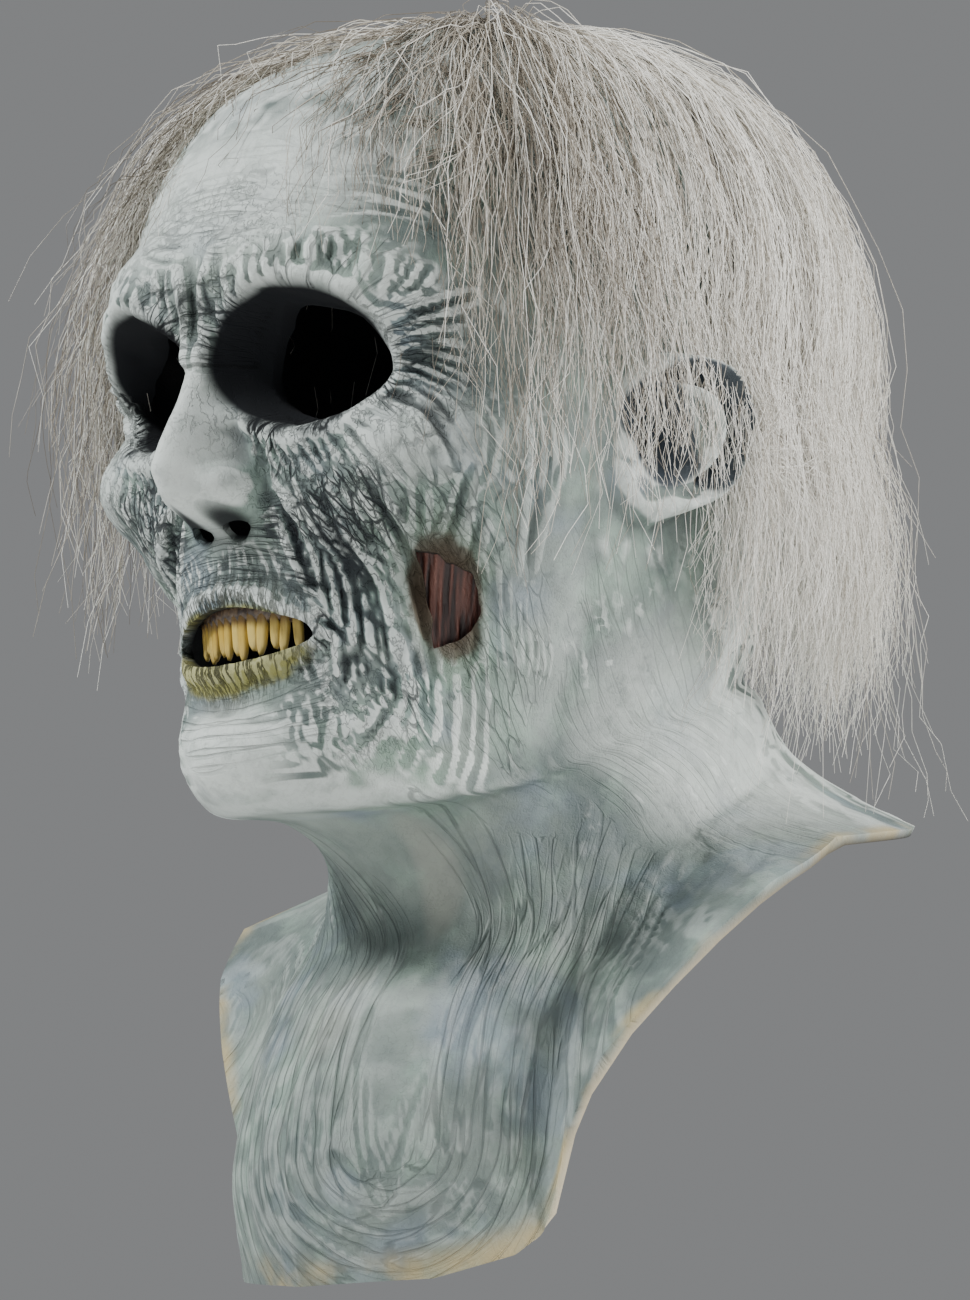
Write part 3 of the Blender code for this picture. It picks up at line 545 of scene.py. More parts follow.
def lineFlows(degrees, heights, p, q):
    # short lines in six families, the flow that the finish draws its own lines along, and the chest's family
    stray, other = noise(p / 14, q / 14, 51) - 0.5, noise(p / 14, q / 14, 52) - 0.5
    x, y = np.abs(p), q
    xs, hs = x + stray * 16, heights + other * 9
    ex, ey = (x - chartEye[0] * perDegree) / chartEye[2], (y - chartEye[1] * perPercent) / chartEye[3]
    eyeRadius, eyeTurn = np.hypot(ex, ey), np.arctan2(ey, ex)
    mouthX, mouthY = x / 34.0, (y - face["mouthHeight"] * perPercent) / 15.0
    mouthRadius, mouthTurn = np.hypot(mouthX, mouthY), np.arctan2(mouthY, mouthX)
    centre = chest["throat"] + (chest["centre"] - chest["throat"]) * (1 - ramp(-16, 2, heights))
    sway = (degrees - centre) * 1.45 * (0.62 + 0.68 * (1 - ramp(-24, 6, heights)))
    rise = (heights - chest["bowHeight"]) * perPercent
    drop = np.minimum(0, rise)
    bows = np.sqrt(sway**2 + (drop * 1.25) ** 2 + 50)
    chestAlong = np.where(drop < 0, np.arctan2(sway, -drop) * 40, np.sign(sway) * 60 + rise)
    offNose = 1 - (1 - ramp(14, 22, x)) * ramp(32, 35, heights) * (1 - ramp(49, 54, heights))

    roundEye = ramp(0.92, 1.04, eyeRadius) * (1 - ramp(1.3, 2.0, eyeRadius + stray * 0.5)) * offNose
    roundMouth = ramp(0.95, 1.2, mouthRadius) * (1 - ramp(1.9, 3.1, mouthRadius + stray * 0.8))
    roundMouth = roundMouth * ramp(3, 13, hs) * offNose
    onCheek = ramp(20, 36, xs) * (1 - ramp(84, 122, xs)) * ramp(2, 14, hs) * (1 - ramp(42, 58, hs))
    onForehead = ramp(60, 72, hs) * (1 - ramp(80, 96, hs)) * (1 - ramp(88, 120, np.abs(degrees))) * 0.6
    onChest = (1 - ramp(-4, 3, hs)) * (1 - ramp(70, 100, np.abs(degrees - 10) + stray * 12))
    onChest = onChest * ramp(9, 27, bows)
    onNape = ramp(56, 88, np.abs(degrees) + stray * 14) * (1 - ramp(24, 44, hs))
    flows = (
        # across and along in mm, where, spacing, length, depth, seed
        (eyeTurn * 24, eyeRadius * 22, roundEye, 3.6, 13, 0.75, 1),
        (mouthRadius * 20, mouthTurn * 26, roundMouth, 4.0, 16, 0.75, 2),
        (x * 0.86 + y * 0.5, y * 0.86 - x * 0.5, onCheek, 4.2, 12, 0.45, 3),
        (y + 0.004 * x * x, x, onForehead, 5.5, 34, 0.3, 4),
        (bows, chestAlong, onChest, chest["spacing"], chest["length"], 0.75, 5),
        (degrees * 1.7 + q * 0.75, q - degrees * 0.9, onNape, 6.5, 34, 0.5, 6),
    )
    lines, best = np.zeros(p.shape), np.zeros(p.shape)
    flow = np.zeros(p.shape + (3,))
    for across, along, where, spacing, length, depth, seed in flows:
        coarse = creases(across, along, spacing, length, seed)
        fine = creases(across + 31, along, spacing * 0.45, length * 0.5, seed + 20, 0.66)
        lines = np.maximum(lines, where * depth * (coarse + 0.4 * fine))
        chosen = where > best
        flow[chosen] = np.stack((across / spacing, along / length, where - best), axis=-1)[chosen]
        flow[~chosen, 2] = np.minimum(flow[~chosen, 2], (best - where)[~chosen])
        best = np.maximum(best, where)
    flow[..., 2] = ramp(0.1, 0.4, flow[..., 2])
    return lines, flow, (bows, chestAlong, onChest)


def foldMaps(angles, heights):
    # depth of the grooves (mm), height of the rims beside them, fine lines, broad rolls, and the flow
    degrees = np.degrees(angles)[None, :] + np.zeros_like(heights)
    p, q = degrees * perDegree, heights * perPercent
    groove, rim = np.zeros(p.shape), np.zeros(p.shape)
    chance = np.random.default_rng(21)
    for first, last, count, half, depth, wobble, mirrored in bundles:
        steps = max(len(first), len(last))
        first, last = resampled(first, steps), resampled(last, steps)
        for side in (1, -1) if mirrored else (1,):
            for k in range(count):
                share = np.clip((k + chance.uniform(-0.32, 0.32)) / max(1, count - 1), -0.05, 1.05)
                line = strokeLine(first + (last - first) * share, chance.uniform(0, 30), wobble)
                start = int(chance.uniform(0, 4))
                line = line[start : strokePoints - int(chance.uniform(0, 4))]
                line[:, 0] *= side
                size = chance.uniform(0.75, 1.25)
                engraved(p, q, groove, rim, line, half * size, depth * size * chance.uniform(0.7, 1.15))
    for points, half, depth, side in deepFolds:
        for turn in (1, -1) if side == 0 else (side,):
            line = strokeLine(points, chance.uniform(0, 30), 0.8)
            line[:, 0] *= turn
            engraved(p, q, groove, rim, line, half, depth)
    lines, flow, (across, along, where) = lineFlows(degrees, heights, p, q)
    roll = (noise(across / 8.5, along / 75, 14) - 0.5) * where * 2.8
    lump = (noise(p / 15, q / 12, 15) - 0.5) * 1.2 * (1 - ramp(50, 62, heights))
    lump = lump + (noise(p / 6.5, q / 5.5, 16) - 0.5) * 0.5
    return groove, rim, lines, roll + lump, flow


def blurred(value, times):
    # an even blur over the neighbours of each point on the grid, which closes on itself sideways
    out = value.copy()
    for _ in range(times):
        padded = np.concatenate((out[:, -1:], out, out[:, :1]), axis=1)
        out = (padded[:, :-2] + padded[:, 2:] + 2 * out) / 4
        padded = np.concatenate((out[:1], out, out[-1:]), axis=0)
        out = (padded[:-2] + padded[2:] + 2 * out) / 4
    return out


def buildSkin():
    # the outer and inner walls with everything that the finish needs at each point
    angles = columnAngles(head["columnSteps"])
    padded = wrapped(angles, 3)
    levels = rowLevels(head["rowSteps"])
    plain = plainHead(padded, levels)
    heights = (plain[..., 2] - chinZ) / head["height"] * 100
    points, earDark = modelled(plain)
    groove, rim, lines, roll, flow = foldMaps(padded, heights)
    edge = 1 - 0.75 * ramp(lastSection - 0.5, lastSection, levels)[:, None]
    keep = ramp(1.2, 3.5, levels)[:, None] * edge * (1 - 0.85 * np.clip(earDark, 0, 1))
    roundSocket = (frontPart(points) > 0.5) & (heights > 40) & (heights < 64)
    keep = np.where(roundSocket, keep * ramp(0.8, 1.0, socketShare(points)), keep)
    relief = (rim + roll * 0.8 - groove - lines) * keep * mm
    points = points + outward(points) * relief[..., None]
    hollow = ((blurred(points, 3) - points) * outward(points)).sum(axis=2) / mm
    degrees = np.degrees(padded)[None, :] + 0 * heights
    shares = {
        "crease": np.clip((groove / 1.5 + lines * 0.8) * keep, 0, 1),
        "hollow": np.clip(0.5 + hollow * 1.1, 0, 1),
        "earDark": earDark,
        "place": np.stack((degrees, heights, levels[:, None] + 0 * heights), axis=-1),
        "flow": flow,
    }
    shares = {name: value[:, 3:-3] for name, value in shares.items()}
    points = points[:, 3:-3]
    points[0] = points[0].mean(axis=0)
    innerAngles = columnAngles(head["innerColumnSteps"])
    inner, _ = modelled(plainHead(wrapped(innerAngles, 2), rowLevels(head["innerRowSteps"])), inside=True)
    inner = (inner - outward(inner) * head["wall"])[:, 2:-2]
    inner[0] = (0, 0, 0)
    return points, angles, inner, innerAngles, shares


def gridFaces(first, rows, columns):
    i, j = np.meshgrid(np.arange(rows - 1), np.arange(columns), indexing="ij")
    a = first + i * columns + j
    b = first + i * columns + (j + 1) % columns
    return np.stack((a, a + columns, b + columns, b), axis=-1).reshape(-1, 4)


def stitched(first, angles, otherFirst, otherAngles):
    turns, others = list(angles) + [angles[0] + 7], list(otherAngles) + [otherAngles[0] + 7]
    a = b = 0
    faces = []
    while a < len(angles) or b < len(otherAngles):
        here, there = first + a % len(angles), otherFirst + b % len(otherAngles)
        if b == len(otherAngles) or (a < len(angles) and turns[a + 1] <= others[b + 1]):
            a += 1
            faces.append((here, there, first + a % len(angles)))
        else:
            b += 1
            faces.append((here, there, otherFirst + b % len(otherAngles)))
    return faces


def newPiece(name, mesh):
    piece = bpy.data.objects.new(name, mesh)
    bpy.context.scene.collection.objects.link(piece)
    return piece


def evaluatedMesh(piece):
    # the mesh with its modifiers worked in, which then go
    made = bpy.data.meshes.new_from_object(piece.evaluated_get(bpy.context.evaluated_depsgraph_get()))
    piece.modifiers.clear()
    return made


def meshOf(name, vertices, faces):
    # a smooth mesh with its normals turned outwards
    mesh = bpy.data.meshes.new(name)
    mesh.from_pydata([tuple(v) for v in vertices], [], [tuple(int(i) for i in f) for f in faces])
    bm = bmesh.new()
    bm.from_mesh(mesh)
    bmesh.ops.recalc_face_normals(bm, faces=bm.faces)
    bm.to_mesh(mesh)
    bm.free()
    mesh.shade_smooth()
    return mesh


def storeValues(mesh, name, values):
    kind, key = ("FLOAT_VECTOR", "vector") if values.ndim == 2 else ("FLOAT", "value")
    layer = mesh.attributes.new(name, kind, "POINT")
    layer.data.foreach_set(key, values.astype(np.float32).ravel())


def holeCutter(name, outline, centre, along, reach):
    along = np.array(along, float) / np.linalg.norm(along)
    across = np.cross((0, 0, 1), along)
    across /= np.linalg.norm(across)
    up = np.cross(along, across)
    ring = np.array([centre + across * a + up * b for a, b in outline])
    count = len(ring)
    vertices = list(ring - along * reach) + list(ring + along * reach)
    faces = [(j, (j + 1) % count, count + (j + 1) % count, count + j) for j in range(count)]
    faces += [tuple(range(count)), tuple(range(count, 2 * count))]
    return newPiece(name, meshOf(name, vertices, faces))


def unevenOval(width, height, sides, seed, rough=0.05, pointed=1.0):
    outline = []
    for k in range(sides):
        turn = 2 * math.pi * k / sides
        a, b = math.cos(turn), math.sin(turn)
        bulge = noise(np.array([a * 1.7 + 5]), np.array([b * 1.7 + 5]), seed)[0] - 0.5
        size = 1 + rough * bulge * 2
        outline.append((width / 2 * a * size, height / 2 * math.copysign(abs(b) ** pointed, b) * size))
    return outline


# eye hole: share of the half width from the nose outwards, share of the half height
eyeShape = (
    (-1, -0.12), (-0.93, 0.3), (-0.68, 0.74), (-0.34, 1), (0.06, 0.98), (0.44, 0.76), (0.78, 0.42),
    (0.98, 0.05), (0.95, -0.34), (0.68, -0.72), (0.3, -0.95), (-0.12, -1), (-0.55, -0.86), (-0.86, -0.56),
)
eyeHalf = (21 * mm, 17 * mm)
nostril = {"x": 7.6 * mm, "height": 34.2, "wide": 9.5 * mm, "tall": 7 * mm, "deep": 14 * mm}
wound = {
    "width": 18 * mm,
    "height": 27 * mm,
    "ragged": 2.4 * mm,
    "shape": (
        (-0.5, 0.5), (-0.3, 0.49), (-0.1, 0.44), (0.12, 0.4), (0.33, 0.27), (0.47, 0.1), (0.5, -0.06),
        (0.42, -0.22), (0.3, -0.34), (0.1, -0.42), (-0.08, -0.47), (-0.2, -0.5), (-0.26, -0.34),
        (-0.32, -0.12), (-0.38, 0.12), (-0.45, 0.34),
    ),
}


def eyeOutline(side, seed):
    # the hole's outline, rounded and a little uneven
    table = np.array(eyeShape + eyeShape[:1], float)
    at = np.linspace(0, len(table) - 1, 57)[:-1]
    ring = np.concatenate((table[-3:-1], table, table[1:3]))
    points = curveThrough(np.arange(-2, len(table) + 2), ring[:, None, :], at)[:, 0]
    rough = 1 + 0.07 * (noise(at * 0.9, np.full(at.shape, 2.5), seed) - 0.5) * 2
    return [(side * a * eyeHalf[0] * r, b * eyeHalf[1] * r) for (a, b), r in zip(points, rough)]


def woundOutline():
    table = np.array(wound["shape"] + wound["shape"][:1], float) * (wound["width"], wound["height"])
    knots = np.arange(len(table))
    at = np.linspace(0, len(table) - 1, 65)[:-1]
    torn = [(noise(at * 1.3, np.full(64, 4.0 + k), 61) - 0.5) * wound["ragged"] for k in (0, 1)]
    return np.stack([np.interp(at, knots, table[:, k]) + torn[k] for k in (0, 1)], axis=1)


def surfacePoint(angle, height):
    levels = np.linspace(1, len(headSections), 300)
    line = plainHead(np.array((angle, angle + 0.01)), levels)[:, 0]
    return line[np.argmin(np.abs(line[:, 2] - aboveChin(height)))]


def cutHoles(skin):
    depth, angle = head["halfDepth"], math.radians(face["woundAngle"])
    cutters = []
    for side in (-1, 1):
        eye = np.array((side * face["eyeX"], -depth * 0.8, aboveChin(face["eyeHeight"])))
        outline = eyeOutline(side, 3 + side)
        cutters.append(holeCutter("eyeCutter", outline, eye, (side * 0.12, -1, 0), depth * 0.4))
        place = np.array((side * nostril["x"], -depth * 0.93, aboveChin(nostril["height"])))
        outline = unevenOval(nostril["wide"], nostril["tall"], 20, 6 + side)
        cutters.append(holeCutter("nostrilCutter", outline, place, (0, -0.75, -0.66), nostril["deep"]))
    mouth = np.array((0, -depth * 0.95, aboveChin(face["mouthHeight"])))
    outline = unevenOval(face["mouthHalf"] * 2, face["mouthGape"], 56, 11, 0.06, 1.25)
    cutters.append(holeCutter("mouthCutter", outline, mouth, (0, -1, 0), depth * 0.3))
    place = surfacePoint(angle, face["woundHeight"])
    away = (math.sin(angle), -math.cos(angle), 0)
    cutters.append(holeCutter("woundCutter", woundOutline(), place, away, 12 * mm))
    for tool in cutters:
        step = skin.modifiers.new(tool.name, "BOOLEAN")
        step.operation = "DIFFERENCE"
        step.solver = "MANIFOLD"
        step.object = tool
    skin.data = evaluatedMesh(skin)
    for tool in cutters:
        bpy.data.objects.remove(tool)


def storeShares(mesh, vertices, shares, outerCount):
    # gives each point of the cut mesh the values of the nearest outer point before the holes
    trees = []
    for count in (len(vertices), outerCount):
        tree = KDTree(count)
        for index in range(count):
            tree.insert(vertices[index], index)
        tree.balance()
        trees.append(tree)
    nearest = np.array([trees[1].find(v.co)[1] for v in mesh.vertices])
    for name, value in shares.items():
        rest = value[1:].reshape(-1, *value.shape[2:])
        storeValues(mesh, name, np.concatenate((value[:1, 0], rest))[nearest])
    isInside = np.array([trees[0].find(v.co)[1] for v in mesh.vertices]) >= outerCount
    storeValues(mesh, "inside", isInside)


outer, outerAngles, inner, innerAngles, shares = buildSkin()
rows, columns = outer.shape[:2]
innerRows, innerColumns = inner.shape[:2]
outerCount = 1 + (rows - 1) * columns
skinVertices = [outer[0, 0], *outer[1:].reshape(-1, 3), inner[0, 0], *inner[1:].reshape(-1, 3)]
skinFaces = [(0, 1 + j, 1 + (j + 1) % columns) for j in range(columns)]
skinFaces += list(gridFaces(1, rows - 1, columns))
under = outerCount + 1
skinFaces += [(outerCount, under + (j + 1) % innerColumns, under + j) for j in range(innerColumns)]
skinFaces += [tuple(f[::-1]) for f in gridFaces(under, innerRows - 1, innerColumns)]
hemEdges = 1 + (rows - 2) * columns, under + (innerRows - 2) * innerColumns
skinFaces += stitched(hemEdges[0], outerAngles, hemEdges[1], innerAngles)
latexSkin = newPiece("latexSkin", meshOf("latexSkin", skinVertices, skinFaces))
print("skin grid", rows, columns, "faces", len(latexSkin.data.polygons))
cutHoles(latexSkin)
storeShares(latexSkin.data, skinVertices, shares, outerCount)
latexSkin.data.shade_smooth()
latexSkin.data.set_sharp_from_angle(angle=math.radians(62))
latexSkin.data.calc_loop_triangles()
print("skin cut", len(latexSkin.data.loop_triangles), "triangles")


teeth = {
    "count": 13,
    "half": 24.5 * mm,
    "height": 14.5 * mm,
    "thick": 4.0 * mm,
    "behind": 1.1 * mm,
    "gum": 7 * mm,
    "overlap": 2.2 * mm,  # of each tooth with the gum
    "fluting": 0.16 * mm,
    "rings": 14,
    "sides": 18,
    "gumRings": 97,
    "gumSides": 12,
}


def lipLine(angles):
    # the back of the lips at the teeth, with its outward direction laid flat
    levels = np.linspace(8, 11, 60)
    heights = plainHead(np.array((0.0, 0.01)), levels)[:, 0, 2]
    level = levels[np.argmin(np.abs(heights - aboveChin(face["mouthHeight"])))]
    around = np.array((level - 0.05, level, level + 0.05))
    surface, _ = modelled(plainHead(angles, around), inside=True)
    normal = outward(surface)[1]
    normal[:, 2] = 0
    normal /= np.linalg.norm(normal, axis=1, keepdims=True)
    return surface[1] - normal * (head["wall"] + teeth["behind"]), normal


def tubeFaces(first, rings, sides):
    # the sides and the two ends of a tube whose vertices come ring by ring
    starts = [first + i * sides for i in range(rings)]
    faces = [(a + j, a + (j + 1) % sides, a + (j + 1) % sides + sides, a + j + sides)
             for a in starts[:-1] for j in range(sides)]
    return faces + [tuple(range(a, a + sides)) for a in (starts[0], starts[-1])]


def buildTeeth():
    chance = np.random.default_rng(5)
    reach = head["halfDepth"] * 0.82
    half = math.asin(teeth["half"] / reach)
    gumMiddle = aboveChin(face["mouthHeight"]) + face["mouthGape"] / 2
    vertices, faces, tints = [], [], []
    edges = np.linspace(-half, half, teeth["count"] + 1)
    rings, sides = teeth["rings"], teeth["sides"]
    for k in range(teeth["count"]):
        centre = (edges[k] + edges[k + 1]) / 2 + chance.uniform(-0.006, 0.006)
        place, normal = (found[1] for found in lipLine(np.array((centre - 0.01, centre, centre + 0.01))))
        across = np.array((-normal[1], normal[0], 0))
        middle = abs(k - (teeth["count"] - 1) / 2)
        wide = (edges[1] - edges[0]) * reach * (0.9 - 0.015 * middle) * chance.uniform(0.84, 1.02)
        long = teeth["height"] * chance.uniform(0.8, 1.06) * (1 - 0.03 * middle)
        lean, chip = chance.uniform(-0.1, 0.1), chance.uniform(-0.3, 0.3)
        tint = chance.uniform(0, 1)
        faces += tubeFaces(len(vertices), rings + 1, sides)
        for i in range(rings + 1):
            share = i / rings
            height = gumMiddle - teeth["gum"] / 2 + teeth["overlap"] - long * share
            belly = 0.72 + 0.36 * math.sin(math.pi * min(1, 0.2 + share * 0.75)) - 1.5 * max(0, share - 0.8)
            depth = 1.0 - 0.5 * share - 0.3 * max(0, share - 0.86) / 0.14
            for j in range(sides):
                turn = 2 * math.pi * j / sides
                a = math.copysign(abs(math.cos(turn)) ** 0.75, math.cos(turn)) * wide / 2 * belly
                b = math.sin(turn) * teeth["thick"] / 2 * depth
                groove = teeth["fluting"] * math.cos(a / wide * 5 * math.pi) * (b > 0)
                drop = chip * a * 7 * max(0, share - 0.8)
                out = b - teeth["thick"] / 2 - 0.3 * mm + groove
                point = place + across * (a + lean * long * share) + normal * out
                vertices.append(np.array((point[0], point[1], height + drop)))
                tints.append((share, tint, 0))
    # the gum, lumpy over the root of each tooth
    rings, sides = teeth["gumRings"], teeth["gumSides"]
    faces += tubeFaces(len(vertices), rings, sides)
    angles = np.linspace(-half * 1.06, half * 1.06, rings)
    root = np.abs(np.sin(math.pi * (angles + half) / (2 * half) * teeth["count"]))
    for place, normal, bulge in zip(*lipLine(angles), root):
        for j in range(sides):
            turn = 2 * math.pi * j / sides
            out = math.cos(turn) * (teeth["thick"] / 2 + 0.55 * mm * bulge)
            rise = math.sin(turn) * teeth["gum"] / 2
            sag = -1.4 * mm * (1 - bulge) if rise < 0 else 0
            point = place + normal * (out - teeth["thick"] / 2 - 0.6 * mm)
            vertices.append(np.array((point[0], point[1], gumMiddle + rise + sag)))
            tints.append((0, 0, 1))
    mesh = meshOf("longTeeth", vertices, faces)
    storeValues(mesh, "tint", np.array(tints))
    return newPiece("longTeeth", mesh)


longTeeth = buildTeeth()
print("teeth built")


flesh = {"margin": 5 * mm, "thick": 3 * mm, "behind": 0.9 * mm, "fibre": 1.5 * mm, "cells": 69, "coarse": 3}


def buildFlesh():
    centre = math.radians(face["woundAngle"])
    halfMean = (head["halfWidth"] + head["halfDepth"]) / 2
    across = (wound["width"] / 2 + flesh["margin"]) / halfMean * 1.15
    tall = (wound["height"] / 2 + flesh["margin"]) / head["height"] * 100
    levels = np.linspace(6, 12, 200)
    line = plainHead(np.array((centre, centre + 0.01)), levels)[:, 0, 2]
    goals = [aboveChin(face["woundHeight"] + rise) for rise in (tall, -tall)]
    ends = [levels[np.argmin(np.abs(line - goal))] for goal in goals]
    n, coarse = flesh["cells"] + 1, flesh["coarse"]
    angles = np.linspace(centre - across, centre + across, n)
    surface, _ = modelled(plainHead(angles, np.linspace(*ends, n)), inside=True)
    normal = outward(surface)
    a, b = np.meshgrid(np.linspace(-across, across, n) * halfMean / mm, np.linspace(0, tall * 5, n))
    fibres = noise(a / 1.15 + b * 0.12, b / 13, 31) * 0.7 + noise(a / 0.55, b / 7, 32) * 0.3
    middle = soft(np.hypot(a / 13, (b - tall * 2.5) / 19))
    push = (fibres - 0.75) * flesh["fibre"] * (0.35 + 0.65 * middle) + 0.9 * mm * middle
    front = surface - normal * (head["wall"] + flesh["behind"])
    back = front - normal * flesh["thick"]
    front = front + normal * np.minimum(push, 1.0 * mm)[..., None]
    size = n * n
    faces = []
    for i in range(n - 1):
        for j in range(n - 1):
            k = i * n + j
            faces.append((k, k + n, k + n + 1, k + 1))
            if i % coarse == 0 and j % coarse == 0:
                k += size
                faces.append((k, k + coarse, k + coarse * (n + 1), k + coarse * n))
    edge = list(range(n)) + [i * n + n - 1 for i in range(1, n)]
    edge += [(n - 1) * n + j for j in range(n - 2, -1, -1)] + [i * n for i in range(n - 2, 0, -1)]
    for k in range(0, len(edge), coarse):
        run = [edge[(k + m) % len(edge)] for m in range(coarse + 1)]
        faces.append((*run, size + run[-1], size + run[0]))
    mesh = meshOf("rawFlesh", [*front.reshape(-1, 3), *back.reshape(-1, 3)], faces)
    storeValues(mesh, "fibre", np.concatenate((fibres.ravel(), np.zeros(size))))
    bm = bmesh.new()
    bm.from_mesh(mesh)
    bmesh.ops.delete(bm, geom=[v for v in bm.verts if not v.link_faces], context="VERTS")
    bm.to_mesh(mesh)
    bm.free()
    return newPiece("rawFlesh", mesh)


rawFlesh = buildFlesh()
print("flesh built")


hairLook = {
    "guides": 2350,
    "copies": 4,
    "segments": 13,
    "radius": 0.185 * mm,
    "spread": 7.0 * mm,
    "frizz": 14.0 * mm,
    "fuzz": 3.2 * mm,
    "widest": 118 * mm,  # how far from the middle a path goes
    "clear": 1.2 * mm,  # how far a path stays off the skin
    "strays": 0.2,  # share of them
    "seed": 4,
}
# angle, hairs (share), where the hairs leave the scalp (sections from the crown), tip height (%),
# spread of the tips, how far they stand off when they hang (mm), and shade (0 grey-brown, 1 cream)
hairRegions = (
    (0, 0.03, 2.6, 84, 6, 4, 0.25),
    (20, 0.07, 3.2, 76, 12, 10, 0.2),
    (30, 0.16, 4.0, 66, 14, 12, 0.2),
    (38, 0.45, 4.4, 57, 14, 14, 0.25),
    (45, 0.55, 4.6, 51, 17, 17, 0.3),
    (54, 0.24, 5.0, 50, 16, 14, 0.4),
    (64, 0.34, 5.3, 51, 14, 12, 0.5),
    (78, 0.26, 5.5, 50, 13, 11, 0.6),
    (92, 0.3, 5.8, 48, 12, 11, 0.8),
    (101, 0.75, 6.1, 40, 12, 13, 0.95),
    (111, 1.15, 6.3, 33, 12, 15, 1.0),
    (126, 1.2, 6.6, 31, 11, 17, 1.0),
    (145, 1.1, 6.8, 31, 11, 17, 1.0),
    (180, 1.05, 6.8, 31, 11, 16, 0.95),
)
# each side's hair in three pieces, up to these angles
hairParts = (("Temple", 100), ("Side", 140), ("Back", 181))


def hairPaths():
    # a path for each guide, as points in metres, with a shade for each guide
    chance = np.random.default_rng(hairLook["seed"])
    table = np.array(hairRegions, float)
    gridAngles = np.radians(np.arange(-184, 185, 2.0))
    gridLevels = np.linspace(0.12, 8, 120)
    scalp = plainHead(gridAngles, gridLevels)
    normals = outward(scalp)
    skin = latexSkin.data
    tree = BVHTree.FromPolygons([v.co for v in skin.vertices], [f.vertices for f in skin.polygons])
    centre = np.array((0, -0.08 * head["halfDepth"]))

    def onScalp(angle, level):
        u = np.clip((np.degrees(angle) + 184) / 2, 0, len(gridAngles) - 1.001)
        v = np.clip((level - gridLevels[0]) / (gridLevels[1] - gridLevels[0]), 0, len(gridLevels) - 1.001)
        i, j = int(v), int(u)
        a, b = v - i, u - j
        found = []
        for grid in (scalp, normals):
            upper, lower = (grid[i + k, j] * (1 - b) + grid[i + k, j + 1] * b for k in (0, 1))
            found.append(upper * (1 - a) + lower * a)
        return found

    def crossed(value, low, high):
        return ramp(low, high, np.array(value))

    paths = []
    while len(paths) < hairLook["guides"]:
        degrees = chance.uniform(-180, 180)
        turn = abs(degrees)
        found = (np.interp(turn, table[:, 0], table[:, k]) for k in range(1, 7))
        hairs, leave, tip, spread, lift, shade = found
        clump = 0.25 + 1.2 * noise(np.array([degrees / 6.0]), np.array([3.3]), 40)[0]
        if chance.uniform(0, 1.45) > hairs * clump:
            continue
        rootLevel = leave * chance.uniform(0.0, 1.0)
        stray = chance.uniform() < hairLook["strays"]
        farLock = degrees < 0 and turn < 75
        ragged = (noise(np.array([degrees / 4.0]), np.array([7.7]), 41)[0] - 0.5) * 19 - (9 if farLock else 0)
        tip = tip + ragged + chance.normal(0, 1) * spread * 0.6 + (chance.uniform(-6, 14) if stray else 0)
        lift = lift * chance.uniform(0.45, 1.15) * (1.2 if farLock else 1)
        lift = lift + (chance.uniform(0, 12) if stray else 0)
        drift = chance.normal(0, 9.0 if turn < 50 else 6.0)
        swirl = chance.normal(0, 35.0)
        if abs(degrees + drift) < 37:
            # short enough to leave the eyes free
            tip = max(tip, 62 + chance.uniform(0, 9))
        wave = chance.uniform(0, 6.28, 4)
        swing = chance.uniform(0.8, 3.0) * (2.2 if stray else 1)
        puff = 4 + 8 * crossed(turn, 28, 45) - 4 * crossed(turn, 50, 70) + 3 * crossed(turn, 90, 120)
        puff = puff * chance.uniform(0.2, 1.15) * (1.5 if stray else 1)
        line = []
        # over the scalp, from the root to where the hair leaves it
        over = max(leave - rootLevel, 0.02)
        for k in range(8):
            part = k / 7
            level = rootLevel + over * part
            angle = math.radians(degrees + drift * part + swirl * max(0, 1 - level / 2.2) ** 2)
            angle = (angle + math.pi) % (2 * math.pi) - math.pi
            place, normal = onScalp(angle, level)
            off = 0.4 * mm + puff * mm * math.sin(math.pi / 2 * min(1, part * min(1.0, over / 1.5)))
            line.append(place + normal * off)
        # and down to its tip
        start = line[-1]
        reach = np.hypot(*(start[:2] - centre))
        heading = math.atan2(start[0], -(start[1] - centre[1]))
        fall = max(start[2] - aboveChin(tip), 6 * mm)
        inward = 0.2 * crossed(turn, 92, 112) * chance.uniform(0.4, 1.3)
        for k in range(1, 14):
            drop = fall * k / 13
            out = lift * mm * (1 - math.exp(-drop / (30 * mm))) - inward * drop
            sway = swing * mm * (drop / (40 * mm)) ** 0.8
            side = sway * (math.sin(drop / (17 * mm) + wave[0]) + 0.5 * math.sin(drop / (8 * mm) + wave[1]))
            radius = reach + out + sway * 0.7 * math.sin(drop / (21 * mm) + wave[2])
            x = radius * math.sin(heading) + side * math.cos(heading)
            y = centre[1] - radius * math.cos(heading) + side * math.sin(heading)
            line.append(np.array((x, y, start[2] - drop)))
        line = np.array(line)
        line[:, 0] = np.clip(line[:, 0], -hairLook["widest"], hairLook["widest"])
        for k in range(1, len(line)):
            closest, normal, _, gap = tree.find_nearest(line[k])
            if (Vector(line[k]) - closest).dot(normal) < 0 or gap < hairLook["clear"]:
                line[k] = closest + normal * hairLook["clear"]
        lengths = np.concatenate(((0,), np.cumsum(np.linalg.norm(np.diff(line, axis=0), axis=1))))
        at = np.linspace(0, lengths[-1], hairLook["segments"] + 1)
        line = np.stack([np.interp(at, lengths, line[:, k]) for k in range(3)], axis=1)
        paths.append((degrees, line, np.clip(shade + chance.normal(0, 0.14), 0, 1)))
    return paths


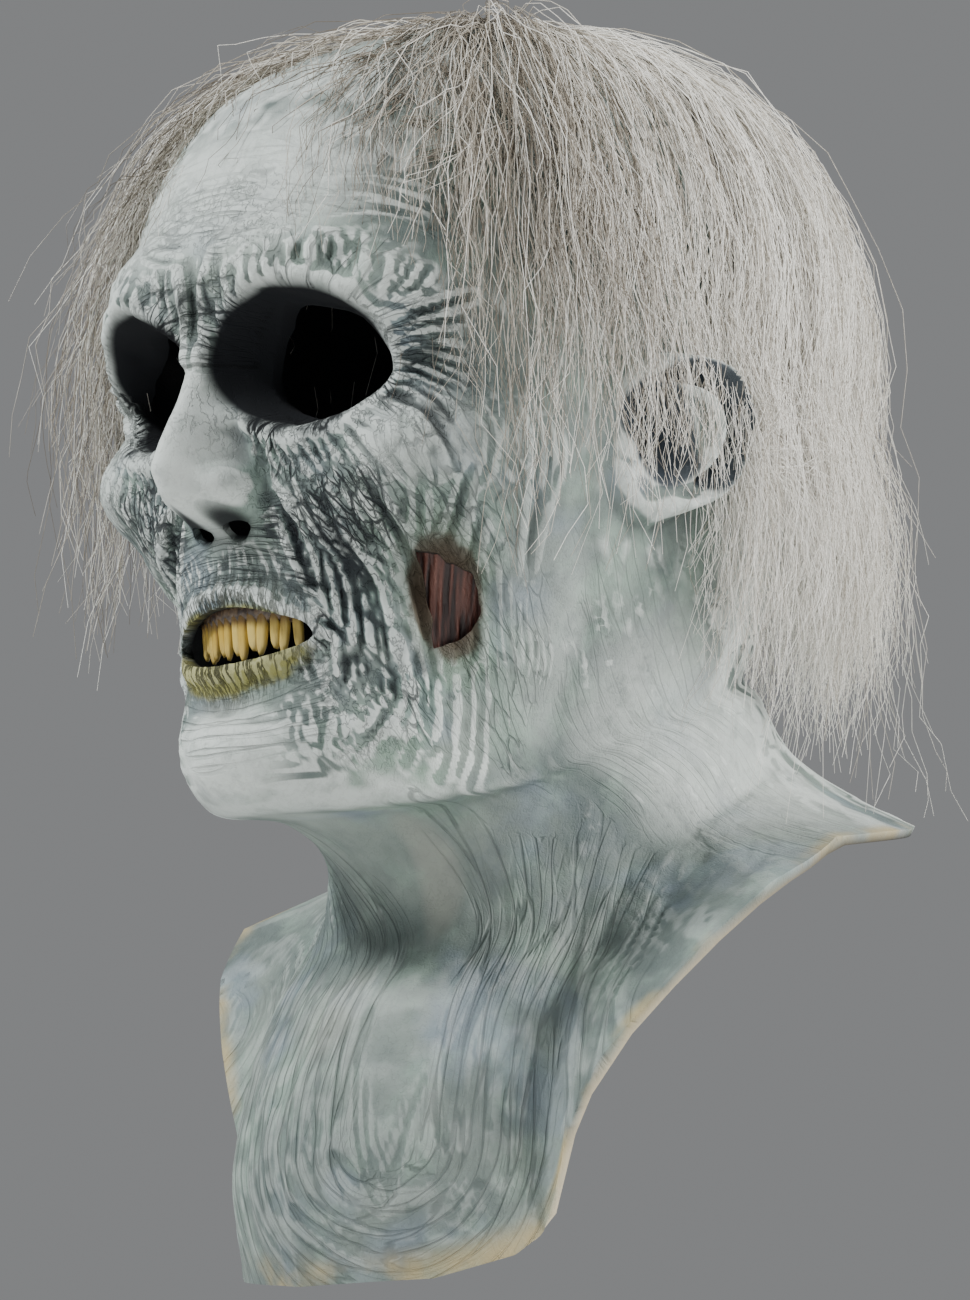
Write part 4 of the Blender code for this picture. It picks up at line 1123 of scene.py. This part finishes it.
def hairTree(material):
    # copies of each path, set apart, curled towards their tips and swept into thin tubes
    tree = bpy.data.node_groups.new("hairStrands", "GeometryNodeTree")
    interface = tree.interface
    interface.new_socket("Geometry", in_out="OUTPUT", socket_type="NodeSocketGeometry")
    interface.new_socket("Geometry", in_out="INPUT", socket_type="NodeSocketGeometry")
    sockets = {}
    for name in ("Copies", "Spread", "Frizz", "Fuzz", "Radius", "Seed"):
        kind = "NodeSocketInt" if name in ("Copies", "Seed") else "NodeSocketFloat"
        sockets[name] = interface.new_socket(name, in_out="INPUT", socket_type=kind).identifier
    start, end = tree.nodes.new("NodeGroupInput").outputs, tree.nodes.new("NodeGroupOutput").inputs

    def add(kind, settings=None, links=None, out=0):
        node = tree.nodes.new(kind)
        for key, value in (settings or {}).items():
            setattr(node, key, value)
        for key, value in (links or {}).items():
            if isinstance(value, bpy.types.NodeSocket):
                tree.links.new(value, node.inputs[key])
            else:
                node.inputs[key].default_value = value
        return node.outputs[out]

    def maths(operation, *values):
        return add("ShaderNodeMath", {"operation": operation}, dict(enumerate(values)))

    def vector(operation, *values):
        return add("ShaderNodeVectorMath", {"operation": operation}, dict(enumerate(values)))

    def scaled(value, size):
        return add("ShaderNodeVectorMath", {"operation": "SCALE"}, {0: value, "Scale": size})

    def cloud(**values):
        colour = add("ShaderNodeTexNoise", {"noise_dimensions": "3D"}, values, "Color")
        return vector("SUBTRACT", colour, (0.5, 0.5, 0.5))

    curves = add("GeometryNodeMeshToCurve", links={"Mesh": start["Geometry"]})
    amount = {"Geometry": curves, "Amount": start["Copies"]}
    copies = add("GeometryNodeDuplicateElements", {"domain": "SPLINE"}, amount)
    values = {"Min": (-1, -1, -1), "Max": (1, 1, 1), "Seed": start["Seed"]}
    apart = add("FunctionNodeRandomValue", {"data_type": "FLOAT_VECTOR"}, values)
    perStrand = {"data_type": "FLOAT_VECTOR", "domain": "CURVE"}
    apart = add("GeometryNodeFieldOnDomain", perStrand, {"Value": apart})
    along = add("GeometryNodeSplineParameter")
    grow = maths("MULTIPLY_ADD", maths("POWER", along, 1.4), 0.9, 0.22)
    place = vector("MULTIPLY_ADD", apart, (3.0, 3.0, 3.0), add("GeometryNodeInputPosition"))
    shift = scaled(apart, maths("MULTIPLY", grow, start["Spread"]))
    frizz = maths("MULTIPLY", maths("MULTIPLY", grow, start["Frizz"]), 2.0)
    curl = scaled(cloud(Vector=place, Scale=34.0, Detail=2.0, Roughness=0.6), frizz)
    fuzz = scaled(cloud(Vector=place, Scale=95.0, Detail=0.0), maths("MULTIPLY", grow, start["Fuzz"]))
    tone = add("FunctionNodeRandomValue", {"data_type": "FLOAT"}, {"Seed": start["Seed"]}, 1)
    values = {"Geometry": copies, "Name": "tone", "Value": tone}
    toned = add("GeometryNodeStoreNamedAttribute", {"data_type": "FLOAT", "domain": "CURVE"}, values)
    offset = vector("ADD", vector("ADD", shift, curl), fuzz)
    moved = add("GeometryNodeSetPosition", links={"Geometry": toned, "Offset": offset})
    radius = maths("MULTIPLY", maths("MULTIPLY_ADD", along, -0.6, 1.0), start["Radius"])
    sized = add("GeometryNodeSetCurveRadius", links={"Curve": moved, "Radius": radius})
    profile = add("GeometryNodeCurvePrimitiveCircle", links={"Resolution": 3, "Radius": 1.0})
    swept = {"Curve": sized, "Profile Curve": profile, "Fill Caps": True}
    tubes = add("GeometryNodeCurveToMesh", links=swept)
    if "Scale" in tubes.node.inputs:
        tree.links.new(radius, tubes.node.inputs["Scale"])
    real = add("GeometryNodeRealizeInstances", links={"Geometry": tubes})
    done = add("GeometryNodeSetMaterial", links={"Geometry": real, "Material": material})
    tree.links.new(done, end["Geometry"])
    return tree, sockets


def buildHair(material):
    tree, sockets = hairTree(material)
    paths = hairPaths()
    size = hairLook["segments"] + 1
    pieces = []
    for side, sideName in ((1, "near"), (-1, "far")):
        low = 0
        for part, high in hairParts:
            name = sideName + part + "Hair"
            picked = [(line, shade) for turn, line, shade in paths if low <= turn * side < high]
            low = high
            edges = [(s * size + k, s * size + k + 1) for s in range(len(picked)) for k in range(size - 1)]
            mesh = bpy.data.meshes.new(name)
            mesh.from_pydata([tuple(p) for line, _ in picked for p in line], edges, [])
            storeValues(mesh, "shade", np.repeat([shade for _, shade in picked], size))
            piece = newPiece(name, mesh)
            step = piece.modifiers.new("strands", "NODES")
            step.node_group = tree
            for key in ("copies", "spread", "frizz", "fuzz", "radius", "seed"):
                step[sockets[key.capitalize()]] = hairLook[key]
            piece.data = evaluatedMesh(piece)
            piece.data.shade_smooth()
            piece.data.calc_loop_triangles()
            print(name, len(picked), "guides", len(piece.data.loop_triangles), "triangles")
            pieces.append(piece)
    return pieces


class Wire:
    # a socket that takes part in sums
    def __init__(self, finish, socket):
        self.finish = finish
        self.socket = socket

    def run(self, operation, first, second=0.0, clamp=False):
        return self.finish.add("Math", {"operation": operation, "use_clamp": clamp}, {0: first, 1: second})

    def __add__(self, other):
        return self.run("ADD", self, other)

    def __sub__(self, other):
        return self.run("SUBTRACT", self, other)

    def __rsub__(self, other):
        return self.run("SUBTRACT", other, self)

    def __mul__(self, other):
        return self.run("MULTIPLY", self, other)

    def clamped(self):
        return self.run("ADD", self, 0.0, True)

    def size(self):
        return self.run("ABSOLUTE", self)

    def eased(self, low, high, start=0.0, end=1.0):
        values = {"Value": self, "From Min": low, "From Max": high, "To Min": start, "To Max": end}
        return self.finish.add("MapRange", {"interpolation_type": "SMOOTHSTEP"}, values)

    def most(self, other):
        return self.run("MAXIMUM", self, other)

    __radd__ = __add__
    __rmul__ = __mul__


class Finish:
    def __init__(self, name):
        self.material = bpy.data.materials.new(name)
        self.material.use_nodes = True
        self.tree = self.material.node_tree
        self.shader = self.tree.nodes["Principled BSDF"]

    def add(self, kind, settings=None, sockets=None, out=0):
        node = self.tree.nodes.new("ShaderNode" + kind)
        for key, value in (settings or {}).items():
            setattr(node, key, value)
        for key, value in (sockets or {}).items():
            self.feed(node.inputs[key], value)
        return Wire(self, node.outputs[out])

    def feed(self, socket, value):
        if isinstance(value, Wire):
            self.tree.links.new(value.socket, socket)
        elif isinstance(value, tuple) and len(value) == 3 and socket.type == "RGBA":
            socket.default_value = (*value, 1.0)
        else:
            socket.default_value = value

    def set(self, **sockets):
        for key, value in sockets.items():
            self.feed(self.shader.inputs[key.replace("_", " ")], value)

    def mixed(self, share, first, second):
        return self.add("Mix", {"data_type": "RGBA"}, {0: share, 6: first, 7: second}, 2)

    def layered(self, colour, *layers):
        # each layer's colour over what lies below it, by the layer's share
        for share, over in layers:
            colour = self.mixed(share, colour, over)
        return colour

    def objectPlace(self):
        return self.add("TexCoord", out="Object")

    def stretched(self, vector, scale):
        return self.add("Mapping", {}, {"Vector": vector, "Scale": scale})

    def cloud(self, vector, scale, detail=3.0, rough=0.55):
        values = {"Vector": vector, "Scale": scale, "Detail": detail, "Roughness": rough}
        return self.add("TexNoise", {}, values)

    def share(self, name):
        return self.add("Attribute", {"attribute_name": name}, out="Fac")

    def parts(self, name):
        vector = self.add("Attribute", {"attribute_name": name}, out="Vector")
        return vector, [self.add("SeparateXYZ", {}, {0: vector}, k) for k in range(3)]

    def raised(self, height, distance, strength=1.0):
        return self.add("Bump", {}, {"Height": height, "Distance": distance, "Strength": strength})


# angle, height, half sizes and strength of places on the skin, on both sides
busySkin = (
    (22, 33, 17, 15, 1.0),
    (25, 18, 13, 15, 0.8),
    (20, 47, 24, 9, 0.9),
    (5, 58, 8, 9, 0.8),
    (38, 50, 12, 11, 0.7),
    (0, 28, 14, 5, 0.7),
    (6, 70, 15, 7, 0.5),
    (40, 26, 13, 15, 0.45),
)
greenSkin = (
    (38, 22, 16, 16, 1.0),
    (28, 8, 14, 10, 0.8),
    (44, 78, 14, 12, 0.7),
)
# places with a painted highlight: forehead, nose, chin, cheekbone, back of the jaw and side of the neck
litSkin = (
    (10, 74, 24, 12, 0.8),
    (0, 42, 9, 12, 0.85),
    (2, 7, 14, 8, 0.85),
    (38, 43, 13, 6, 0.65),
    (100, 8, 36, 22, 0.6),
    (62, 22, 14, 16, 0.35),
)
# nostrils and mouth, painted black as shade
openSkin = (
    (4.4, 33.8, 3.8, 2.6, 0.95),
    (0, 21, 18.5, 3.6, 0.9),
)


def latexFinish():
    f = Finish("foldedLatex")
    place = f.objectPlace()
    chart, parts = f.parts("place")
    flow, lanes = f.parts("flow")
    crease, hollow, earDark, inside = (f.share(name) for name in ("crease", "hollow", "earDark", "inside"))
    bend = f.add("TexNoise", {}, {"Vector": flow, "Scale": 0.9, "Detail": 2.0}, 1)
    bent = f.add("VectorMath", {"operation": "MULTIPLY_ADD"}, {0: bend, 1: (1.1, 1.1, 0.0), 2: flow})

    def spot(angle, height, wide, tall, strength=1.0, mirrored=True):
        # its strength at a place on the chart of angle and height, falling to 0 at its edge
        turn = parts[0].size() if mirrored else parts[0]
        across = (turn - angle) * (1 / wide)
        up = (parts[1] - height) * (1 / tall)
        return (1.0 - (across * across + up * up)).eased(0.0, 0.9) * strength

    def spots(places):
        found = spot(*places[0])
        for other in places[1:]:
            found = found.most(spot(*other))
        return found

    def lines(scale, width):
        cells = {"voronoi_dimensions": "2D", "feature": "DISTANCE_TO_EDGE"}
        edge = f.add("TexVoronoi", cells, {"Vector": bent, "Scale": scale}, "Distance")
        return edge.eased(width, width * 0.25)

    def cracks(cloud, low, high):
        # thin lines where the cloud crosses its middle
        return (1.0 - (cloud * 2.0 - 1.0).size()).eased(low, high)

    grime = f.cloud(place, 120.0, 5.0, 0.65)
    blotch = f.cloud(place, 17.0, 4.0, 0.62)
    patch = f.cloud(place, 46.0, 4.0, 0.6)
    pores = f.cloud(place, 1500.0, 2.0, 0.6)
    busy = spots(busySkin)
    onNeck = parts[1].eased(5.0, -4.0)

    # thin lines that follow the folds, long ones and short ones between them
    longLines = lines(0.95, 0.09) * lanes[2] * (busy * 0.8 + onNeck * 0.2 + 0.45)
    shortLines = lines(1.9, 0.1) * lanes[2] * (busy * 0.85 + 0.1 + onNeck * 0.12)
    calm = parts[0].size().eased(50.0, 80.0, 1.0, 0.35) * (1.0 - onNeck * 0.3)
    calm = calm * (1.0 - spot(0, 80, 70, 18, 0.6))
    fades = patch.eased(0.36, 0.6, 0.3, 1.0).most(busy).most(onNeck * 0.8)
    fine = (longLines.most(shortLines) * grime.eased(0.2, 0.5, 0.6, 1.0) * calm * fades).clamped()
    crackle = f.cloud(f.stretched(place, (1.0, 1.0, 0.75)), 260.0, 3.0, 0.6)
    crackRidge = cracks(crackle, 0.93, 0.99) * (busy * 0.5 + 0.08)
    split = f.cloud(f.stretched(chart, (0.75, 0.2, 0.0)), 1.0, 4.0, 0.6)
    splits = cracks(split, 0.88, 0.98) * spot(0, 20.5, 21, 9)

    # pale skin, greener round the cheeks, the jaw and the upper forehead, beige on the throat
    beige = spot(18, -6, 7, 9, 1.0, False).most(spot(2, -22, 9, 7, 0.6, False))
    pale = f.layered(
        f.mixed(blotch.eased(0.35, 0.68), (0.125, 0.158, 0.152), (0.25, 0.295, 0.268)),
        (patch.eased(0.46, 0.68) * 0.55, (0.3, 0.4, 0.34)),
        (f.cloud(place, 28.0, 3.0).eased(0.52, 0.72) * 0.4, (0.25, 0.31, 0.4)),
        (spots(greenSkin) * patch.eased(0.35, 0.6) * 0.6, (0.2, 0.31, 0.23)),
        (beige * 0.22, (0.6, 0.56, 0.48)),
    )

    # pale drybrush on what stands out, and a painted highlight on the forehead, nose, chin, cheekbone and side of
    # the jaw and neck, weaker on the neck and the shaded cheek; a dark wash in what lies deep
    brushedAndLit = (hollow.eased(0.5, 0.3) * 0.8).most(spots(litSkin)) * grime.eased(0.25, 0.55, 0.55, 1.0)
    brushedAndLit = brushedAndLit * (1.0 - onNeck * 0.75) * (1.0 - spot(50, 30, 22, 26, 0.45))
    # painted shade under the jaw, with a grey wash over the busy places
    greyWashAndJawShade = (busy * 0.6).most(spot(46, -4, 32, 12, 0.55))
    wash = crease.eased(0.42, 1.0) * (busy * 0.5 + 0.5) * (1.0 - onNeck * 0.65)
    wash = wash.most(hollow.eased(0.6, 0.98) * (busy * 0.5 + 0.3) * (1.0 - onNeck * 0.4))
    wash = wash.most(fine * 0.95).most(crackRidge)
    # lips, the sore rim of the torn cheek, and a small round sore on the other cheek
    lip = spot(0, 19.2, 19.5, 6.6)
    lip = (lip + (grime - 0.5) * 1.4).eased(0.15, 0.7) * lip.eased(0.0, 0.35)
    rim = spot(41, 24.6, 11.5, 11.0, 1.0, False)
    torn = (spot(41, 24.6, 9.3, 9.0, 1.0, False) + (grime - 0.5) * 0.9).eased(0.25, 0.6) * rim
    sore = spot(-42, 35.5, 2.6, 1.9, 1.0, False)
    # stains at the hem
    low = parts[2].eased(lastSection - 0.42, lastSection - 0.04)
    stain = low * f.cloud(place, 24.0, 4.0).eased(0.45, 0.62)
    # painted shade: black in and round the sockets, in the nostrils and the mouth; darker ear hollows
    hollowed = earDark.eased(0.15, 0.75) * grime.eased(0.1, 0.5, 0.8, 1.0)
    halo = spot(17.2, 51.6, 19.5, 12.2)
    halo = (halo + (grime - 0.5) * 1.2 + fine * 0.5).eased(0.45, 0.8) * halo.eased(0.0, 0.5)
    dark = spot(17.0, 52.3, 16.4, 9.6).eased(0.0, 0.25).most(halo * 0.92).most(spots(openSkin)).clamped()
    washed = f.layered(
        pale,
        # pale drybrush on what stands out, and painted highlight
        (brushedAndLit, (0.74, 0.79, 0.76)),
        # painted shade under the jaw and grey wash in the busy places
        (greyWashAndJawShade * grime.eased(0.35, 0.75), (0.16, 0.19, 0.21)),
        ((wash * grime.eased(0.12, 0.5, 0.7, 1.0)).clamped(), (0.022, 0.027, 0.031)),
        (lip * 0.8, (0.33, 0.31, 0.075)),
        (splits * 0.9, (0.03, 0.03, 0.015)),
        (rim * 0.7, (0.2, 0.25, 0.19)),
        (torn, (0.06, 0.045, 0.03)),
        (sore, (0.11, 0.035, 0.025)),
        (stain * 0.75, (0.5, 0.4, 0.2)),
        (hollowed * 0.95, (0.03, 0.04, 0.054)),
        # black painted shade in and round the sockets, nostrils and mouth
        (dark, (0.008, 0.009, 0.011)),
    )

    # the inside: black in the head, as painted shade and as the black paint such masks have, giving way to bare
    # latex at the collar
    bare = f.mixed(blotch, (0.5, 0.42, 0.28), (0.62, 0.56, 0.42))
    depth = f.add("SeparateXYZ", {}, {0: place}, 2).eased(aboveChin(4), aboveChin(-24))
    colour = f.mixed(inside, washed, f.mixed(depth, (0.008, 0.009, 0.011), bare))
    rough = (grime * 0.25 + 0.42 + crease * 0.2 + dark * 0.5 + hollowed * 0.2).clamped()
    height = (fine * -0.9 + crackRidge * -0.5 + splits * -0.8) * (1.0 - inside) + pores * 0.12 + grime * 0.3
    height = height * (1.0 - dark * 0.85)
    normal = f.raised(height, 1.3 * mm, 0.95)
    f.set(Base_Color=colour, Roughness=rough, Normal=normal, Specular_IOR_Level=0.2)
    return f.material


def teethFinish():
    f = Finish("stainedTeeth")
    place = f.objectPlace()
    _, parts = f.parts("tint")
    streak = f.cloud(f.stretched(place, (900.0, 900.0, 110.0)), 1.0, 3.0, 0.6)
    spots = f.cloud(place, 420.0, 3.0)
    enamel = f.layered(
        f.mixed(parts[1].eased(0.0, 1.0), (0.5, 0.33, 0.05), (0.62, 0.46, 0.12)),
        (parts[0].eased(0.45, 1.0) * 0.4, (0.72, 0.57, 0.21)),
        (streak.eased(0.5, 0.75) * 0.6, (0.3, 0.17, 0.05)),
        (parts[0].eased(0.42, 0.12) * 0.85, (0.13, 0.07, 0.03)),
    )
    gum = f.mixed(spots.eased(0.35, 0.65), (0.035, 0.022, 0.018), (0.15, 0.1, 0.06))
    colour = f.mixed(parts[2], enamel, gum)
    f.set(Base_Color=colour, Roughness=0.34, Normal=f.raised(streak * 0.6 + spots * 0.4, 0.25 * mm, 0.6))
    return f.material


def fleshFinish():
    f = Finish("rawFibres")
    place = f.objectPlace()
    fibre = f.share("fibre")
    fine = f.cloud(f.stretched(place, (950.0, 950.0, 90.0)), 1.0, 3.0, 0.6)
    colour = f.mixed(fibre.eased(0.3, 0.85), (0.018, 0.007, 0.006), (0.13, 0.042, 0.028))
    colour = f.mixed((fine * fibre).eased(0.34, 0.6) * 0.5, colour, (0.26, 0.12, 0.09))
    f.set(Base_Color=colour, Roughness=0.48, Normal=f.raised(fine, 0.5 * mm, 0.9))
    return f.material


def hairFinish():
    f = Finish("thinHair")
    place = f.objectPlace()
    shade = f.share("shade")
    strand = f.cloud(f.stretched(place, (1.0, 1.0, 0.06)), 900.0, 2.0, 0.6)
    tone = (shade * 0.78 + strand * 0.35 + f.share("tone") * 0.85 - 0.47).clamped()
    colour = f.mixed(tone.eased(0.0, 0.45), (0.15, 0.125, 0.095), (0.45, 0.405, 0.335))
    colour = f.mixed(tone.eased(0.35, 0.9), colour, (0.97, 0.95, 0.89))
    f.set(Base_Color=colour, Roughness=0.38, Specular_IOR_Level=0.55)
    return f.material


latexSkin.data.materials.clear()
latexSkin.data.materials.append(latexFinish())
longTeeth.data.materials.append(teethFinish())
rawFlesh.data.materials.append(fleshFinish())
hairPiecesBuilt = buildHair(hairFinish())
print("finishes made")

for piece, node in ((latexSkin, "latex_skin"), (longTeeth, "upper_teeth"), (rawFlesh, "cheek_flesh")):
    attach(piece, "root")
    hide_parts(node)
for piece in hairPiecesBuilt:
    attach(piece, "root")
    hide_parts("hair")


studio = {
    "floorSize": 6.0,
    "floorZ": -0.5,
    "floorColour": (0.78, 0.78, 0.77),
    "skyColour": (0.93, 0.95, 0.97, 1),
    "skyStrength": 0.24,
    "azimuth": 45,
    "elevation": -8,
    "distance": 1.6,
    "lens": 145,
    "target": (0.008, -0.0135, -0.191),
}
# place, size, power, colour
lamps = (
    ((-0.7, -1.45, 1.15), 0.42, 54, (0.98, 1.0, 0.99)),
    ((1.65, 0.95, 0.75), 0.5, 64, (1.0, 0.99, 0.97)),
    ((1.5, -1.6, -0.1), 1.4, 2.5, (1.0, 1.0, 1.0)),
)


def addStudio():
    mesh = bpy.data.meshes.new("floor")
    size, z = studio["floorSize"], studio["floorZ"]
    mesh.from_pydata([(-size, -size, z), (size, -size, z), (size, size, z), (-size, size, z)], [], [(0, 1, 2, 3)])
    floor = newPiece("floor", mesh)
    paint = Finish("paleFloor")
    paint.set(Base_Color=studio["floorColour"], Roughness=0.8)
    mesh.materials.append(paint.material)
    world = bpy.data.worlds.new("studio")
    bpy.context.scene.world = world
    world.use_nodes = True
    sky = world.node_tree.nodes["Background"].inputs
    sky["Color"].default_value = studio["skyColour"]
    sky["Strength"].default_value = studio["skyStrength"]
    target = Vector(studio["target"])
    for place, size, power, colour in lamps:
        lamp = bpy.data.lights.new("softLamp", "AREA")
        lamp.size = size
        lamp.energy = power
        lamp.color = colour
        holder = newPiece("softLamp", lamp)
        holder.location = place
        holder.rotation_euler = (target - Vector(place)).to_track_quat("-Z", "Y").to_euler()
    camera = bpy.data.cameras.new("view")
    camera.lens = studio["lens"]
    camera.sensor_width = 36
    camera.sensor_fit = "AUTO"
    camera.clip_end = 50
    holder = newPiece("view", camera)
    azimuth, elevation = math.radians(studio["azimuth"]), math.radians(studio["elevation"])
    level = math.cos(elevation)
    away = Vector((math.sin(azimuth) * level, -math.cos(azimuth) * level, math.sin(elevation)))
    holder.location = target + away * studio["distance"]
    holder.rotation_euler = (-away).to_track_quat("-Z", "Y").to_euler()
    bpy.context.scene.camera = holder


addStudio()
print("studio set")
